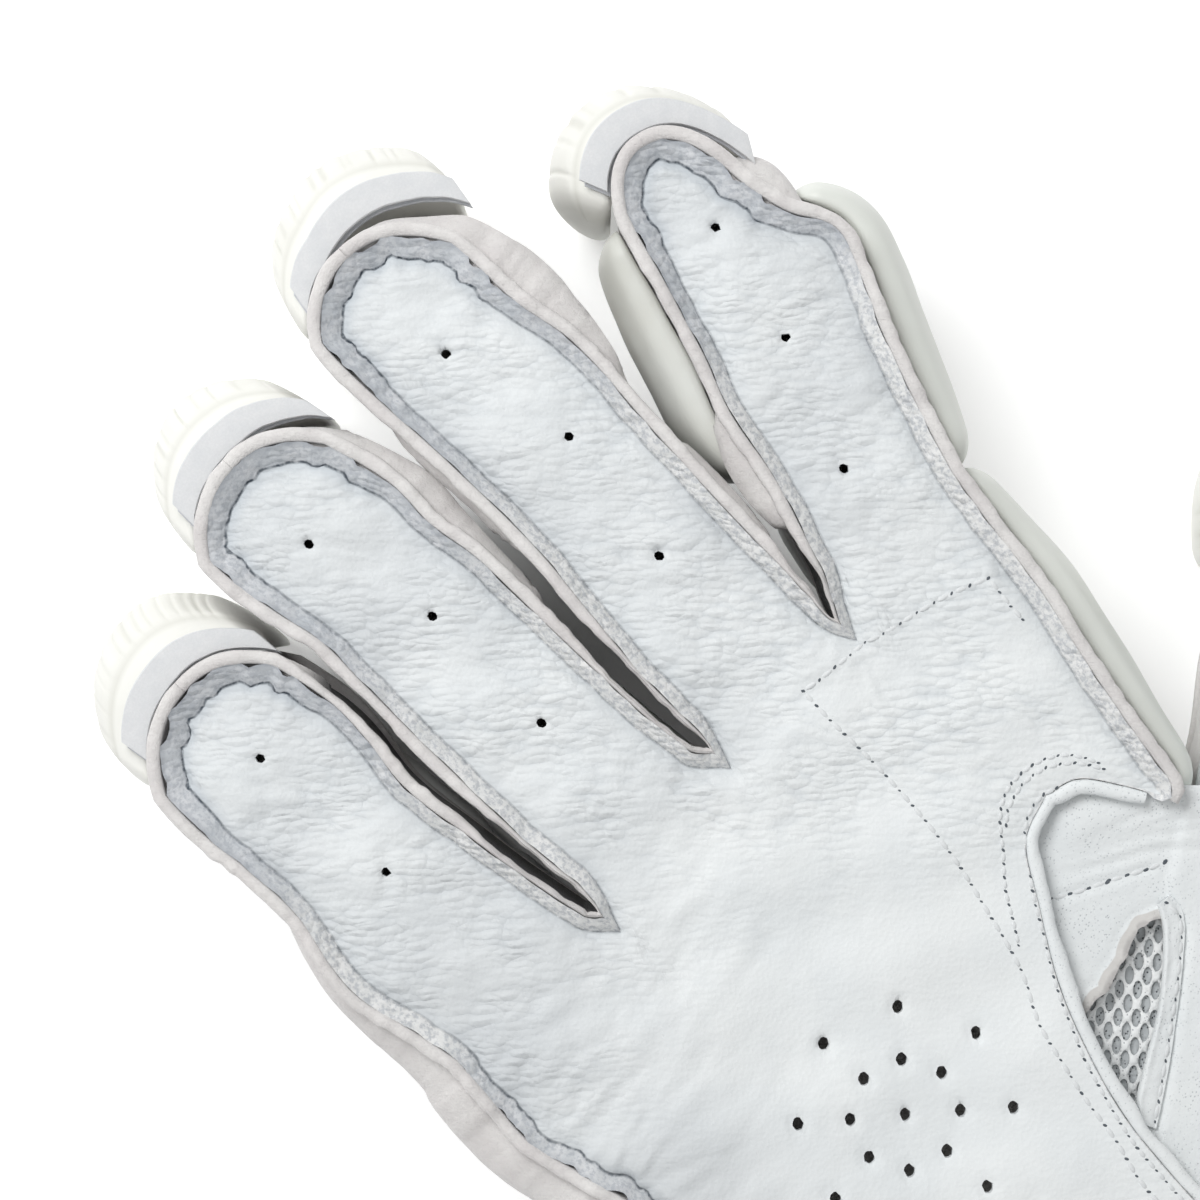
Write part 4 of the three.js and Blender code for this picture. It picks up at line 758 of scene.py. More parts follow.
def wall_sections(i):
    """Cotton side wall: foot, side, turned-out rolled edge beside the leather, and back inside."""
    s = seam
    lean, f, le = s.lean[i], s.flange[i], s.leather[i]
    tight = s.tight[i]
    swell = s.swell[i]
    full = smooth(1.0, 4.0, lean + swell) * (1 - tight)
    zs = s.z[i]
    edge_z = zs + s.rise[i]
    fuzz = 0.16 * noise(s.run[i] / 0.9, 2.2) + 0.16 * noise(s.run[i] / 4.5, 8)
    top = edge_z + lerp(0.40, 0.22, tight) + fuzz
    under = zs - LEATHER - 0.55
    brim = f + lerp(0.55, -0.50, tight) + 0.14 * noise(s.run[i] / 1.5, 17)
    brim = np.maximum(brim, le + 0.55)
    rows_out = [
        (WALL_IN + lean, WALL_Z),
        (WALL_IN + lean * 0.5, 27),
        (WALL_IN, under - 1.2),
        (WALL_IN + 0.2, under - 0.2),
        (le * 0.6 + 0.2, lerp(under, edge_z - LEATHER - 0.5, 0.5)),
        (le + 0.02, edge_z - LEATHER - 0.35),
        (le + 0.06, edge_z - 0.9),
        (le + 0.06, edge_z - 0.22),
        (le + 0.28, top - 0.12),
        (lerp(le, brim, 0.55), top + 0.06),
        (brim - 0.38, top - 0.04),
        (brim - 0.08, top - 0.36),
        (brim, top - 0.95),
        (brim - 0.14, top - lerp(1.6, 1.1, full)),
        (brim - 0.55, top - lerp(2.3, 1.35, full)),
    ]
    foot = WALL_IN + COTTON
    side_top = top - lerp(2.9, 1.55, full)
    for t in np.linspace(0, 1, 20) ** 1.5:
        z = lerp(side_top, WALL_Z, t)
        start = np.minimum(foot + 0.15, brim - 0.7)
        out = lerp(start, foot + lean + swell * smooth(1.0, 0.35, t), 1 - (1 - t) ** lerp(6, 15, full))
        dimple = 0.42 * noise(s.run[i] / 4.6, z / 4.5 + 11) + 0.10 * noise(s.run[i] / 1.7, z / 2.2 + 31)
        if t < 0.57:
            soft = math.sin(math.pi * min(t * 1.6 + 0.08, 1.0)) ** 0.5
        else:
            soft = math.sin(math.pi * (1 - t))
        rows_out.append((out + dimple * soft * (0.35 + 0.65 * smooth(0.2, 2.0, lean + swell)), z))
    return np.stack([np.stack(np.broadcast_arrays(*row), axis=-1) for row in rows_out], axis=1)


def make_walls(material):
    """Cotton side walls between the leather and the back sheet."""
    tips = []
    for k in range(4):
        here = np.flatnonzero((seam.finger == k) & (seam.kind == "tip"))
        tips.append(here[len(here) // 2])
    last = np.flatnonzero(seam.kind == "hand_side")[-1]
    spans = [("little_side", 0, tips[0]), ("little_ring", tips[0], tips[1]),
             ("ring_middle", tips[1], tips[2]), ("middle_index", tips[2], tips[3]),
             ("index_side", tips[3], last)]
    for name, a, b in spans:
        i = station_run(a, b)
        fan = seam.is_crotch[i]
        path = seam.xy[i]
        way = seam.wall_way[i]
        sections = wall_sections(i)
        if fan.any():
            share = np.clip(seam.flange[i] / 3.3, 1.0, 2.0)
            low = sections[..., 1] < PALM_Z - 2.2
            held_in = np.minimum(sections[..., 0], 2.4)
            sections[..., 0] = np.where(low & (share[:, None] > 1), held_in, sections[..., 0])
        if a:
            path[0] = lerp(path[0], path[1], 0.03)
        if b != last:
            path[-1] = lerp(path[-1], path[-2], 0.03)
        # Painted shade: the cotton goes dark deep down in narrow slots and where fingers come close.
        down = (seam.z[i] + seam.rise[i])[:, None] - sections[..., 1]
        narrow = smooth(0.25, 0.8, seam.tight[i])[:, None]
        beside = np.where(seam.finger[i] == 3, 0.45, 0.72) * seam.close_by[i]
        deep = np.maximum(smooth(1.4, 4.0, down) * narrow, smooth(2.2, 10.0, down) * beside[:, None])
        sweep(path, way, sections, f"cotton_wall_{name}", material,
              nodes=[f"gusset_{name}"], slot="cotton", angle=80, even=True,
              attributes={"painted_slot_shade": deep.reshape(-1)})


# Padded caps of the fingertips.
CAPS = {
    "little": dict(out=13.4, left=-6, right=0, ends=0.8),
    "ring": dict(out=12.6, left=6, right=-6, ends=0.84),
    "middle": dict(out=12.8, left=10, right=10, ends=0.86),
    "index": dict(out=10.2, left=-42, right=18, ends=0.82),
}
# Section of a cap: shares of its reach outward and of its height.
CAP_ROWS = [(0, 0.97), (0.05, 0.995), (0.42, 0.975), (0.68, 0.9), (0.88, 0.74), (1, 0.5), (0.93, 0.24),
            (0.7, 0.07), (0.35, 0.0), (0.05, 0.0), (0, 0.03)]
CAP_STEPS = 150
CAP_RING = 46
# Section of a side pad: share of its bulge, height.
SIDE_PAD_ROWS = [(0, 37.0), (0.08, 37.4), (0.5, 36.8), (0.86, 32.5), (1, 26), (0.88, 20), (0.5, 16.6),
                 (0.08, 16.0), (0, 16.4)]
# Cut strip round a fingertip and the darker layer below it: where each starts and ends outside the
# seam, and its thickness and foot.
STRIP = dict(start=0.4, end=4.7, thick=1.0, foot=39.0)
LINING = dict(start=-0.1, end=3.9, thick=0.8, foot=37.9)
PLEAT_GAP = 2.5


def wall_out(i):
    return WALL_IN + COTTON + seam.lean[i]


def pad_inner(i):
    return np.maximum(seam.flange[i], wall_out(i)) + CAP_CLEAR


def cap_path(k, steps):
    """Even places on a cap's inner edge and the way the cap reaches there."""
    f = FINGERS[k]
    cap = CAPS[f["name"]]
    first = np.flatnonzero((seam.finger == k) & (seam.kind == "left"))[-1]
    i = station_run(first, first + ACROSS)
    inner = seam.xy[i] + seam.normal[i] * pad_inner(i)[:, None]
    t = np.linspace(0, 1, len(i))
    packed = smooth_line(np.column_stack([inner, t * 20]), steps)
    turn = np.radians(lerp(cap["left"], cap["right"], packed[:, 2] / 20))
    way = f["up"] * np.cos(turn)[:, None] + f["side"] * np.sin(turn)[:, None]
    return packed[:, :2], way, packed[:, 2] / 20


def rounded_end(run, length, reach, least=0.04):
    """Goes from nearly 0 at both ends of a length to 1, as a round end does."""
    near = np.clip(np.minimum(run, length - run) / reach, 0, 1)
    return np.maximum(np.sqrt(1 - (1 - near) ** 2), least)


def path_run(path):
    """Distance walked along a line at each of its points."""
    return np.concatenate([[0], np.cumsum(np.linalg.norm(np.diff(path, axis=0), axis=1))])


def pleats(run, length, seed):
    """Irregular gathers: valleys between puffed swells, from -1 to about 0.4."""
    rng = np.random.default_rng(seed)
    out = np.full(len(run), 0.0)
    at = rng.uniform(0.6, 1.6)
    while at < length - 0.5:
        depth = rng.uniform(0.25, 1.0)
        width = rng.uniform(0.2, 0.55)
        out -= depth * np.exp(-(((run - at) / width) ** 2))
        at += rng.uniform(0.3, 1.6) * PLEAT_GAP
    return out + 0.3 * noise(run / 1.9, seed)


def make_cap(k, material):
    cap = CAPS[FINGERS[k]["name"]]
    path, way, t = cap_path(k, CAP_STEPS)
    out = cap["out"] * lerp(cap["ends"], 1.0, np.sin(np.pi * np.clip(t, 0, 1)) ** 0.6)
    name = FINGERS[k]["name"]
    cap_skin(f"{name}_cap_padded", f"{name}_tip_cap", path, way, out, CAP_TOP, k, material)


def cap_skin(name, node, path, way, out, top, k, material):
    """Stuffed cap along a path: a smooth band, a seam and gathered leather round the outer side."""
    run = path_run(path)
    ring = smooth_line([(r * 12, z * top) for r, z in CAP_ROWS], CAP_RING)
    r = ring[:, 0] / 12
    z = ring[:, 1]
    share = z / top
    end = rounded_end(run, run[-1], 3.0, 0.12)
    gather = smooth(0.60, 0.70, r) * smooth(0.22, 0.5, share)
    folds = np.stack([pleats(run + 0.5 * q, run[-1], 40 + k) for q in np.sin(r * 3.0)], axis=1)
    swell = 0.55 * folds * gather[None] * (1 - 0.35 * smooth(0.75, 1.0, r)[None])
    groove = -0.60 * np.exp(-(((r - 0.585) * 12 / 0.32) ** 2)) * (share > 0.6)
    lift = swell + groove[None] + 0.22 * gather[None]
    soft = 0.16 * noise(run[:, None] / 6.0 + k * 5, r[None] * 3.0 + 2)
    rr = r[None] * out[:, None] + (lift + soft) * smooth(0.62, 1.0, r)[None]
    zz = z[None] + (lift + soft) * smooth(1.02, 0.66, r)[None] * (share > 0.5)[None]
    mid_r = 0.45 * out[:, None]
    mid_z = 0.52 * top
    rr = mid_r + (rr - mid_r) * end[:, None]
    zz = np.maximum(mid_z + (zz - mid_z) * lerp(0.55, 1.0, end)[:, None], 0.05)
    sections = np.stack([rr, zz], axis=2)
    # Painted shade: the colour darkens in the pleat valleys and along the sewn groove.
    hollow = np.clip(-folds, 0, 1) * gather[None]
    hollow = hollow + 0.7 * np.exp(-(((r - 0.585) * 12 / 0.4) ** 2)) * (share > 0.6)
    piece = sweep(path, way, sections, name, material, nodes=[node], slot="cap_leather", angle=80,
                  attributes={"painted_fold_shade": np.clip(hollow, 0, 1).reshape(-1)})


def strip_outline(size, drop, bulge):
    """A flat strip's outline with small round corners."""
    a, b = size["start"], size["end"]
    low = size["foot"] - drop
    high = low + size["thick"]
    c = 0.16
    outs = [a + c, a, a, a + c, lerp(a, b, 0.3), lerp(a, b, 0.7), b - c, b, b, b - c, lerp(a, b, 0.5)]
    zs = [low, low + c, high - c, high, high + bulge, high + bulge, high, high - c, low + c, low, low]
    return outs, zs


def make_tip_strip(k, size, name, node, material, slot):
    """Cut strip that follows a fingertip outside the seam."""
    path, way, t = cap_path(k, 90)
    keep = t >= 0.115 if size is STRIP else t >= 0.10
    path, way, t = path[keep], way[keep], t[keep]
    run = path_run(path)
    sections = []
    for at in run:
        left = run[-1] - at
        bend = 0.55 * math.exp(-at / 1.3) + 0.75 * math.exp(-left / 1.5)
        ragged = 0.10 * float(noise(at / 1.7, k * 3.0 + size["start"]))
        outs, zs = strip_outline(size, bend * 0.6, 0.06 + 0.05 * ragged)
        outs = [o + ragged * (1 if o < size["start"] + 1 else 0.5) for o in outs]
        sections.append(np.column_stack([outs, zs]))
    sweep(path, way, np.array(sections), name, material, nodes=[node], slot=slot, angle=40)


def make_side_pad(name, node, numbers, bulge, material):
    """Long smooth pad beside a stretch of the seam."""
    steps = 110
    inner = seam.xy[numbers] + seam.normal[numbers] * pad_inner(numbers)[:, None]
    packed = smooth_line(np.column_stack([inner, seam.normal[numbers] * 10]), steps)
    path = packed[:, :2]
    way = packed[:, 2:] / np.linalg.norm(packed[:, 2:], axis=1)[:, None]
    run = path_run(path)
    t = run / run[-1]
    b = bulge * (0.35 + 0.65 * np.sin(np.pi * t) ** 0.45)
    ring = smooth_line([(r * 6, z) for r, z in SIDE_PAD_ROWS], 38)
    r = ring[:, 0] / 6
    z = ring[:, 1]
    end = rounded_end(run, run[-1], 4.0, 0.15)
    soft = 0.22 * noise(run[:, None] / 11.0, z[None] / 13.0 + bulge)
    rr = r[None] * (b[:, None] + soft)
    zz = 26.5 + (z[None] - 26.5) * lerp(0.6, 1.0, end)[:, None]
    rr = lerp(0.35, 1.0, end)[:, None] * rr
    sections = np.stack([rr, zz], axis=2)
    piece = sweep(path, way, sections, name, material, nodes=[node], slot="side_pad", angle=80)


# Section of a roll: shares of its half width and of PAD_H.
ROLL_ROWS = [(-0.96, 1.0), (-1, 0.94), (-1.0, 0.5), (-0.80, 0.12), (-0.45, 0), (0.45, 0), (0.80, 0.12),
             (1.0, 0.5), (1, 0.94), (0.96, 1.0)]
ROLLS = {
    "little": [(-0.02, 0.30), (0.32, 0.63), (0.65, 0.95)],
    "ring": [(-0.02, 0.31), (0.33, 0.64), (0.66, 0.96)],
    "middle": [(-0.02, 0.31), (0.33, 0.64), (0.66, 0.96)],
    "index": [(-0.02, 0.22), (0.24, 0.56), (0.58, 0.90)],
}
ROLL_WIDTH = {"little": (-12.2, 10.8), "ring": (-11.8, 11.4), "middle": (-11.4, 11.8),
              "index": (-10.6, 13.0)}
HAND_ROLLS = [
    ("hand_roll_little", -20.5, -6.0, -1.5, 48, 12), ("hand_roll_ring", 4.6, -6.0, 0, 52, 12),
    ("hand_roll_middle", 29.6, -6.0, 1.0, 55, 12), ("hand_roll_index", 52.0, 8.0, 7, 40, 9),
    ("wrist_pad_left", -13.0, -50.0, 0, 42, 15.5), ("wrist_pad_right", 19.0, -50.0, 0, 42, 15.5),
    ("thumb_roll_base", 53.0, -25.5, 60, 30, 13), ("thumb_roll_tip", 79.6, -8.6, 60, 24, 11.4),
]


def make_roll(node, base, up, side, start, length, left, right, material, seed):
    """A stuffed roll of the back: round ends drawn in with tucks, flat where it rests."""
    steps = 44
    run = np.linspace(0, length, steps + 1)
    path = base + up * (start + run)[:, None]
    way = np.repeat(side[None], len(run), axis=0)
    half = (right - left) / 2
    middle = (right + left) / 2
    ring = smooth_line([(x * 12, z * PAD_H) for x, z in ROLL_ROWS], 34)
    r = ring[:, 0] / 12
    z = ring[:, 1] / PAD_H
    end = rounded_end(run, length, 5.0, 0.0)
    tuck = np.exp(-np.minimum(run, length - run) / 3.2)
    folds = noise(r[None] * half / 1.5 + seed, run[:, None] / 9.0)
    soft = 0.22 * noise(run[:, None] / 7.0 + seed, r[None] * 2.2)
    lift = (0.34 * folds * tuck[:, None] + soft) * smooth(1.0, 0.75, z)[None]
    rr = middle + r[None] * (half * lerp(0.86, 1.0, end)[:, None])
    rr += np.sign(r)[None] * lift * np.abs(r[None]) ** 3
    deep = lerp(0.5, 1.0, end)[:, None]
    raised = np.maximum(lift, 0) * 0.5 * (1 - np.abs(r[None]) ** 3) * smooth(0.02, 0.3, z)[None]
    zz = PAD_H * (1 - (1 - z[None]) * deep) + raised
    piece = sweep(path, way, np.stack([rr, np.minimum(zz, PAD_H)], axis=2), f"{node}_stuffed", material,
                  nodes=[node], slot="roll_leather", angle=75)


def make_rolls(material):
    """Padded rolls of the back: on the fingers, the hand and the wrist."""
    for k, f in enumerate(FINGERS):
        for j, (a, b) in enumerate(ROLLS[f["name"]]):
            node = f"{f['name']}_roll_{('base', 'mid', 'top')[j]}"
            left, right = ROLL_WIDTH[f["name"]]
            start = a * f["length"]
            make_roll(node, f["base"], f["up"], f["side"], start, (b - a) * f["length"], left, right,
                      material, k * 3 + j)
    for j, (node, x, y, turn, length, half) in enumerate(HAND_ROLLS):
        a = math.radians(turn)
        up = np.array([math.sin(a), math.cos(a)])
        side = np.array([math.cos(a), -math.sin(a)])
        make_roll(node, np.array([x, y]), up, side, 0.0, length, -half, half, material, 20 + j)


# The thumb: web and thumb leather, a window of knitted mesh, a folded strip and the rim's turned edge.
THUMB_ROWS = [
    (14, -44, 30, -52, 1), (16.5, -32, 40, -48.5, 1), (19, -20, 49, -43.5, 1), (22.5, -10, 57, -38, 1),
    (27, -1, 64, -33, 1), (33, 7.5, 70, -29, 1), (41, 16, 76, -25.5, 1), (50.2, 12.6, 81, -22.5, 1),
    (56.4, -1.6, 86, -19.5, 0.15), (66, 2.8, 92, -16, 0), (76, 9.8, 98.5, -12, 0), (87, 16.1, 105, -7.5, 0),
    (98, 21.5, 111.5, -1, 0),
]
# The thumb's far end, beyond the photo.
THUMB_TIP = [(106, 22.5), (112, 18), (115.5, 12), (115, 5)]
THUMB_CELLS = 236
THUMB_ACROSS = 84
THUMB_TIP_CELLS = 26
RAW_STEPS = 60  # steps along the window's raw edge
TUCK_WEIGHT = 20
FREE_ROW = 8
WEB_FOLD = [(37.7, 7.2), (39.7, 5.8), (42.6, 3.9), (45.5, 2.2), (48.6, 0.2), (51.8, -2.5), (56.0, -7.0)]
# Folds of the web beside each other: place across, depth, width.
WEB_FOLDS = [(0.0, 0.34, 0.42), (0.9, 0.17, 0.35), (2.2, 0.24, 0.5), (3.7, 0.18, 0.5), (5.6, 0.20, 0.7)]
WEB_SEAM = [(35.2, 5.4), (36.6, 4.5), (38.5, 3.2), (40.8, 2.1), (43.1, 0.8), (45.5, -0.5), (47.7, -1.8)]
# Edges round the window of the thumb: the layer above it, its raw edge, the rest of its outline, and
# the folded strip that closes it.
THUMB_LAYER = [(60.0, 3.4), (56.5, 0.9), (53.4, -1.1), (50.4, -3.0), (47.8, -4.3), (46.4, -6.6),
               (45.1, -10.2), (39.7, -14.8), (32.3, -20.0), (25.3, -24.8), (21.3, -27.3), (16.0, -30.0)]
WINDOW_TOP = [(43.6, -7.4), (42.2, -6.7), (40.4, -6.3), (38.2, -6.8), (36.3, -7.6), (33.1, -8.2),
              (31.2, -8.9), (29.4, -8.4), (27.8, -8.7)]
WINDOW_REST = [(26.4, -8.9), (24.4, -13.5), (22.7, -17.5), (21.4, -22.6), (25.3, -21.6), (31.9, -17.6),
               (36.2, -15.0), (41.6, -10.6)]
STRIP_LEFT = [(44.6, -5.8), (43.2, -8.0), (41.4, -9.9), (34.6, -15.4), (26.7, -19.8), (22.9, -22.1),
              (21.1, -24.2)]
STRIP_RIGHT = [(46.8, -6.2), (46.4, -8.6), (45.2, -10.3), (39.6, -14.9), (35.9, -17.6), (28.7, -22.5),
               (22.0, -26.6)]
MESH_OUTLINE = [(45.6, -5.9), (27.0, -6.9), (21.8, -23.6), (27.2, -22.9), (42.6, -11.2)]
# Staggered oval gaps of the mesh: middle, turn, steps along and across, half axes, cell of the net.
KNIT_MIDDLE = (32.0, -12.6)
KNIT_TURN = 40.0
KNIT_ALONG = 3.9
KNIT_ACROSS = 1.25
KNIT_HOLE = (1.28, 0.66)
KNIT_CELL = 0.3


def beside_line(xy, line):
    """Distance from a line (above 0 on its left), length along it and the nearest place on it."""
    p = np.asarray(line, float)
    a = p[:-1]
    way = p[1:] - a
    size = np.maximum((way**2).sum(axis=1), 1e-12)
    starts = np.concatenate([[0], np.cumsum(np.sqrt(size))[:-1]])
    gap = xy[:, None] - a[None]
    t = np.clip((gap * way).sum(axis=2) / size, 0, 1)
    near = a + way * t[..., None]
    d = np.linalg.norm(xy[:, None] - near, axis=2)
    best = d.argmin(axis=1)
    pick = (np.arange(len(xy)), best)
    cross = way[best, 0] * gap[pick][:, 1] - way[best, 1] * gap[pick][:, 0]
    along = starts[best] + t[pick] * np.sqrt(size[best])
    return d[pick] * np.where(cross < 0, -1.0, 1.0), along, near[pick]


def inside(xy, outline):
    """True for the places within a closed outline."""
    a = np.asarray(outline, float)
    b = np.roll(a, -1, axis=0)
    x = xy[:, 0, None]
    y = xy[:, 1, None]
    spans = (a[:, 1] > y) != (b[:, 1] > y)
    rise = np.where(np.abs(b[:, 1] - a[:, 1]) < 1e-9, 1e-9, b[:, 1] - a[:, 1])
    left = x < (b[:, 0] - a[:, 0]) * (y - a[:, 1]) / rise + a[:, 0]
    return (spans & left).sum(axis=1) % 2 == 1


def cut_out(points, faces, outline):
    """Take out the faces within an outline and draw the edge that is left to it."""
    gone = inside(points[faces].mean(axis=1)[:, :2], outline)
    rim = np.intersect1d(faces[gone], faces[~gone])
    _, _, near = beside_line(points[rim, :2], np.vstack([outline, outline[:1]]))
    points[rim, :2] = near
    return points, faces[~gone]


def thumb_height(u, tucked):
    upper = lerp(THUMB_EDGE, THUMB_TOP, tucked)
    return lerp(lerp(upper, THUMB_TOP, smooth(0, 0.38, u)), THUMB_EDGE, smooth(0.5, 1, u))


def thumb_relief(xy):
    """Folds of the web, a sunk seam, the outer layer's step and the lifted raw edge of the window."""
    x, y = xy[:, 0], xy[:, 1]
    z = 0.12 * noise(x / 7, y / 6 + 44) + 0.05 * noise(x / 1.9 + 5, y / 1.7)
    off, along, _ = beside_line(xy, smooth_line(WEB_FOLD, 40))
    spread = 0.45 + along / 26
    fade = smooth(-1.5, 3.0, along) * smooth(26, 16, along)
    for place, deep, wide in WEB_FOLDS:
        wave = 0.28 * noise(along / 2.6 + place * 7, place)
        grow = lerp(0.35, 1.0, smooth(0, 12, along)) if place else 1.0
        z -= deep * grow * fade * np.exp(-(((off - place * spread + wave) / (wide * 0.75)) ** 2))
    z += 0.35 * np.exp(-(((off - 1.2 * spread) / 0.6) ** 2)) * fade * 0.5
    z += 1.1 * np.exp(-(((off - 7.0) / 5.0) ** 2)) * smooth(-2, 6, along)
    off, along, _ = beside_line(xy, WEB_SEAM)
    z -= 0.30 * np.exp(-((off / 0.5) ** 2)) - 0.12 * np.exp(-(((np.abs(off) - 1.2) / 0.5) ** 2))
    off, along, _ = beside_line(xy, smooth_line(THUMB_LAYER, 60))
    z += 0.55 * smooth(0.1, 0.9, off)
    raw, along, _ = beside_line(xy, smooth_line(WINDOW_TOP, 40))
    edge = np.exp(-np.abs(raw) / 0.8) * (np.abs(raw) < 3)
    z += edge * (0.55 + 0.4 * noise(along / 1.6, 4))
    z -= 0.25 * np.exp(-(((np.abs(raw) - 1.9) / 0.5) ** 2))
    return z, np.abs(raw) + 0.35 * noise(along / 1.4, 12)


def make_thumb(material):
    """Leather of the thumb with its web folds and the window for the mesh."""
    line = smooth_line([(a, b, c, d, TUCK_WEIGHT * t) for a, b, c, d, t in THUMB_ROWS], THUMB_CELLS)
    u = np.linspace(0, 1, THUMB_ACROSS + 1)
    xy = lerp(line[:, None, :2], line[:, None, 2:4], u[None, :, None])
    z = thumb_height(u[None], np.clip(line[:, 4:], 0, TUCK_WEIGHT) / TUCK_WEIGHT)
    tip = smooth_line([THUMB_ROWS[-1][:2], *THUMB_TIP, THUMB_ROWS[-1][2:4]], THUMB_ACROSS)
    v = (np.arange(1, THUMB_TIP_CELLS + 1) / THUMB_TIP_CELLS)[:, None]
    dome = THUMB_EDGE + (z[-1][None] - THUMB_EDGE) * np.sqrt(np.maximum(1 - v**2.6, 0))
    xy = np.concatenate([xy, lerp(xy[-1][None], tip[None], v[..., None])])
    z = np.vstack([z, dome])
    ids = np.arange(z.size).reshape(z.shape)
    points = np.column_stack([xy.reshape(-1, 2), z.reshape(-1)])
    lift, raw = thumb_relief(points[:, :2])
    row = ids // ids.shape[1]
    column = ids % ids.shape[1]
    border = np.minimum(np.minimum(row, column), np.minimum(ids.shape[0] - 1 - row, THUMB_ACROSS - column))
    points[:, 2] += lift * smooth(0, 6, border.reshape(-1))
    window = np.array([*smooth_line(WINDOW_TOP, RAW_STEPS), *WINDOW_REST])
    window[:RAW_STEPS, 1] += 0.18 * noise(window[:RAW_STEPS, 0] / 0.9, 3.0)
    points, faces = cut_out(points, grid_faces(ids, True), window)
    points, faces = shell_down(points, faces, LEATHER)
    return make_piece("thumb_leather_panel", points, [faces], material, ["thumb_leather"], "palm_leather",
                      {"raw_edge": np.concatenate([raw, raw])}, 70, weld=True)


def make_knit(knit, backing):
    """Two skins of knitted mesh below the window: the upper one has staggered oval gaps."""
    lows = np.array([19.5, -25.5])
    size = np.array([27.0, 20.5])
    count = (size / KNIT_CELL).astype(int)
    gx, gy = np.meshgrid(*[np.linspace(0, 1, n + 1) for n in count], indexing="ij")
    points = np.column_stack([lows[0] + gx.reshape(-1) * size[0], lows[1] + gy.reshape(-1) * size[1],
                              np.full(gx.size, THUMB_TOP - 1.75)])
    ids = np.arange(gx.size).reshape(gx.shape)
    faces = grid_faces(ids)
    keep = inside(points[faces].mean(axis=1)[:, :2], grown(MESH_OUTLINE, 1.22))
    faces = faces[keep]
    turn = math.radians(KNIT_TURN)
    c = math.cos(turn)
    s = math.sin(turn)
    holes = []
    for i in range(-7, 8):
        for j in range(-9, 10):
            a = (i + 0.5 * (j % 2)) * KNIT_ALONG
            b = j * KNIT_ACROSS
            x = KNIT_MIDDLE[0] + a * c - b * s
            y = KNIT_MIDDLE[1] + a * s + b * c
            if inside(np.array([[x, y]]), grown(MESH_OUTLINE, 1.05))[0]:
                holes.append((x, y, *KNIT_HOLE, turn))
    for x, y, long, wide, _ in holes:
        dx = points[:, 0] - x
        dy = points[:, 1] - y
        p = (dx * c + dy * s) / long
        q = (dy * c - dx * s) / wide
        points[:, 2] -= 0.45 * np.exp(-np.maximum(np.hypot(p, q) - 1, 0) / 0.35)
    points[:, 2] += 0.05 * noise(points[:, 0] / 0.7, points[:, 1] / 0.7)
    points, faces = pierce(points, faces, holes)
    low = points.copy()
    low[:, 2] = THUMB_TOP - 2.9 + 0.06 * noise(points[:, 0] / 0.8, points[:, 1] / 0.8)
    points, faces = shell_down(points, faces, 0.45)
    make_piece("thumb_knit_mesh", points, [faces], knit, ["thumb_mesh_insert"], "mesh", None, 60)
    whole = grid_faces(ids)[keep]
    low, whole = shell_down(low, whole, 0.4)
    make_piece("thumb_knit_backing", low, [whole], backing, (), "mesh", None, 60)


def grown(outline, share):
    """An outline scaled about its middle."""
    p = np.asarray(outline, float)
    return p.mean(axis=0) + (p - p.mean(axis=0)) * share


def make_fold_strip(material):
    """Leather strip folded along its left edge and sewn down along its right one."""
    left = smooth_line(STRIP_LEFT, 90)
    right = smooth_line(STRIP_RIGHT, 90)
    u = np.linspace(0, 1, 13)
    xy = lerp(left[:, None], right[:, None], u[None, :, None])
    run = np.linspace(0, 30, len(left))[:, None]
    z = THUMB_TOP + 0.95 + 0.28 * np.exp(-((u[None] - 0.12) / 0.16) ** 2) - 0.30 * u[None] ** 3
    z = z + 0.10 * noise(run / 2.4, u[None] * 2.2) + 0.05 * noise(run / 0.9 + 9, u[None] * 4)
    z = z - 0.16 * np.exp(-(((u[None] - 0.86) / 0.07) ** 2)) - 0.4 * np.exp(-((u[None] / 0.05) ** 2))
    ids = np.arange(z.size).reshape(z.shape)
    points = np.column_stack([xy.reshape(-1, 2), z.reshape(-1)])
    points, faces = shell_down(points, grid_faces(ids, True), 0.75)
    return make_piece("thumb_fold_strip_leather", points, [faces], material, ["thumb_fold_strip"],
                      "palm_leather", {"raw_edge": np.full(len(points), 9.0)}, 70)


def make_rim(material):
    """The palm leather's own edge round the thumb, turned over a cord and puffed."""
    here = np.flatnonzero(seam.kind == "rim")
    path = smooth_line(np.column_stack([seam.xy[here], seam.normal[here] * 10]), 220)
    way = path[:, 2:] / np.linalg.norm(path[:, 2:], axis=1)[:, None]
    run = path_run(path[:, :2])
    t = np.radians(np.linspace(0, 360, 19)[:-1])
    out = 1.30 + 0.98 * np.cos(t)
    up = 0.92 * np.sin(t) * np.where(np.sin(t) > 0, 0.85, 0.95)
    end = rounded_end(run, run[-1], 2.0, 0.3)[:, None]
    swell = 1 + 0.16 * noise(run[:, None] / 4.5, 3)
    rr = -0.06 + out[None] * lerp(0.5, swell, end) + 0.05 * noise(run[:, None] / 1.1, t[None] * 1.2)
    zz = PALM_Z - 0.45 + up[None] * end + 0.05 * noise(run[:, None] / 1.4 + 7, t[None] * 1.2)
    keep = (run > 1.2) & (run < run[-1] - 0.6)
    sections = np.stack([rr, zz], axis=2)[keep]
    no_raw_edge = np.full(sections.shape[0] * sections.shape[1], 9.0)
    return sweep(path[keep, :2], way[keep], sections, "thumb_rim_edge", material,
                 nodes=["thumb_rim_binding"], slot="palm_leather", attributes={"raw_edge": no_raw_edge},
                 angle=80)


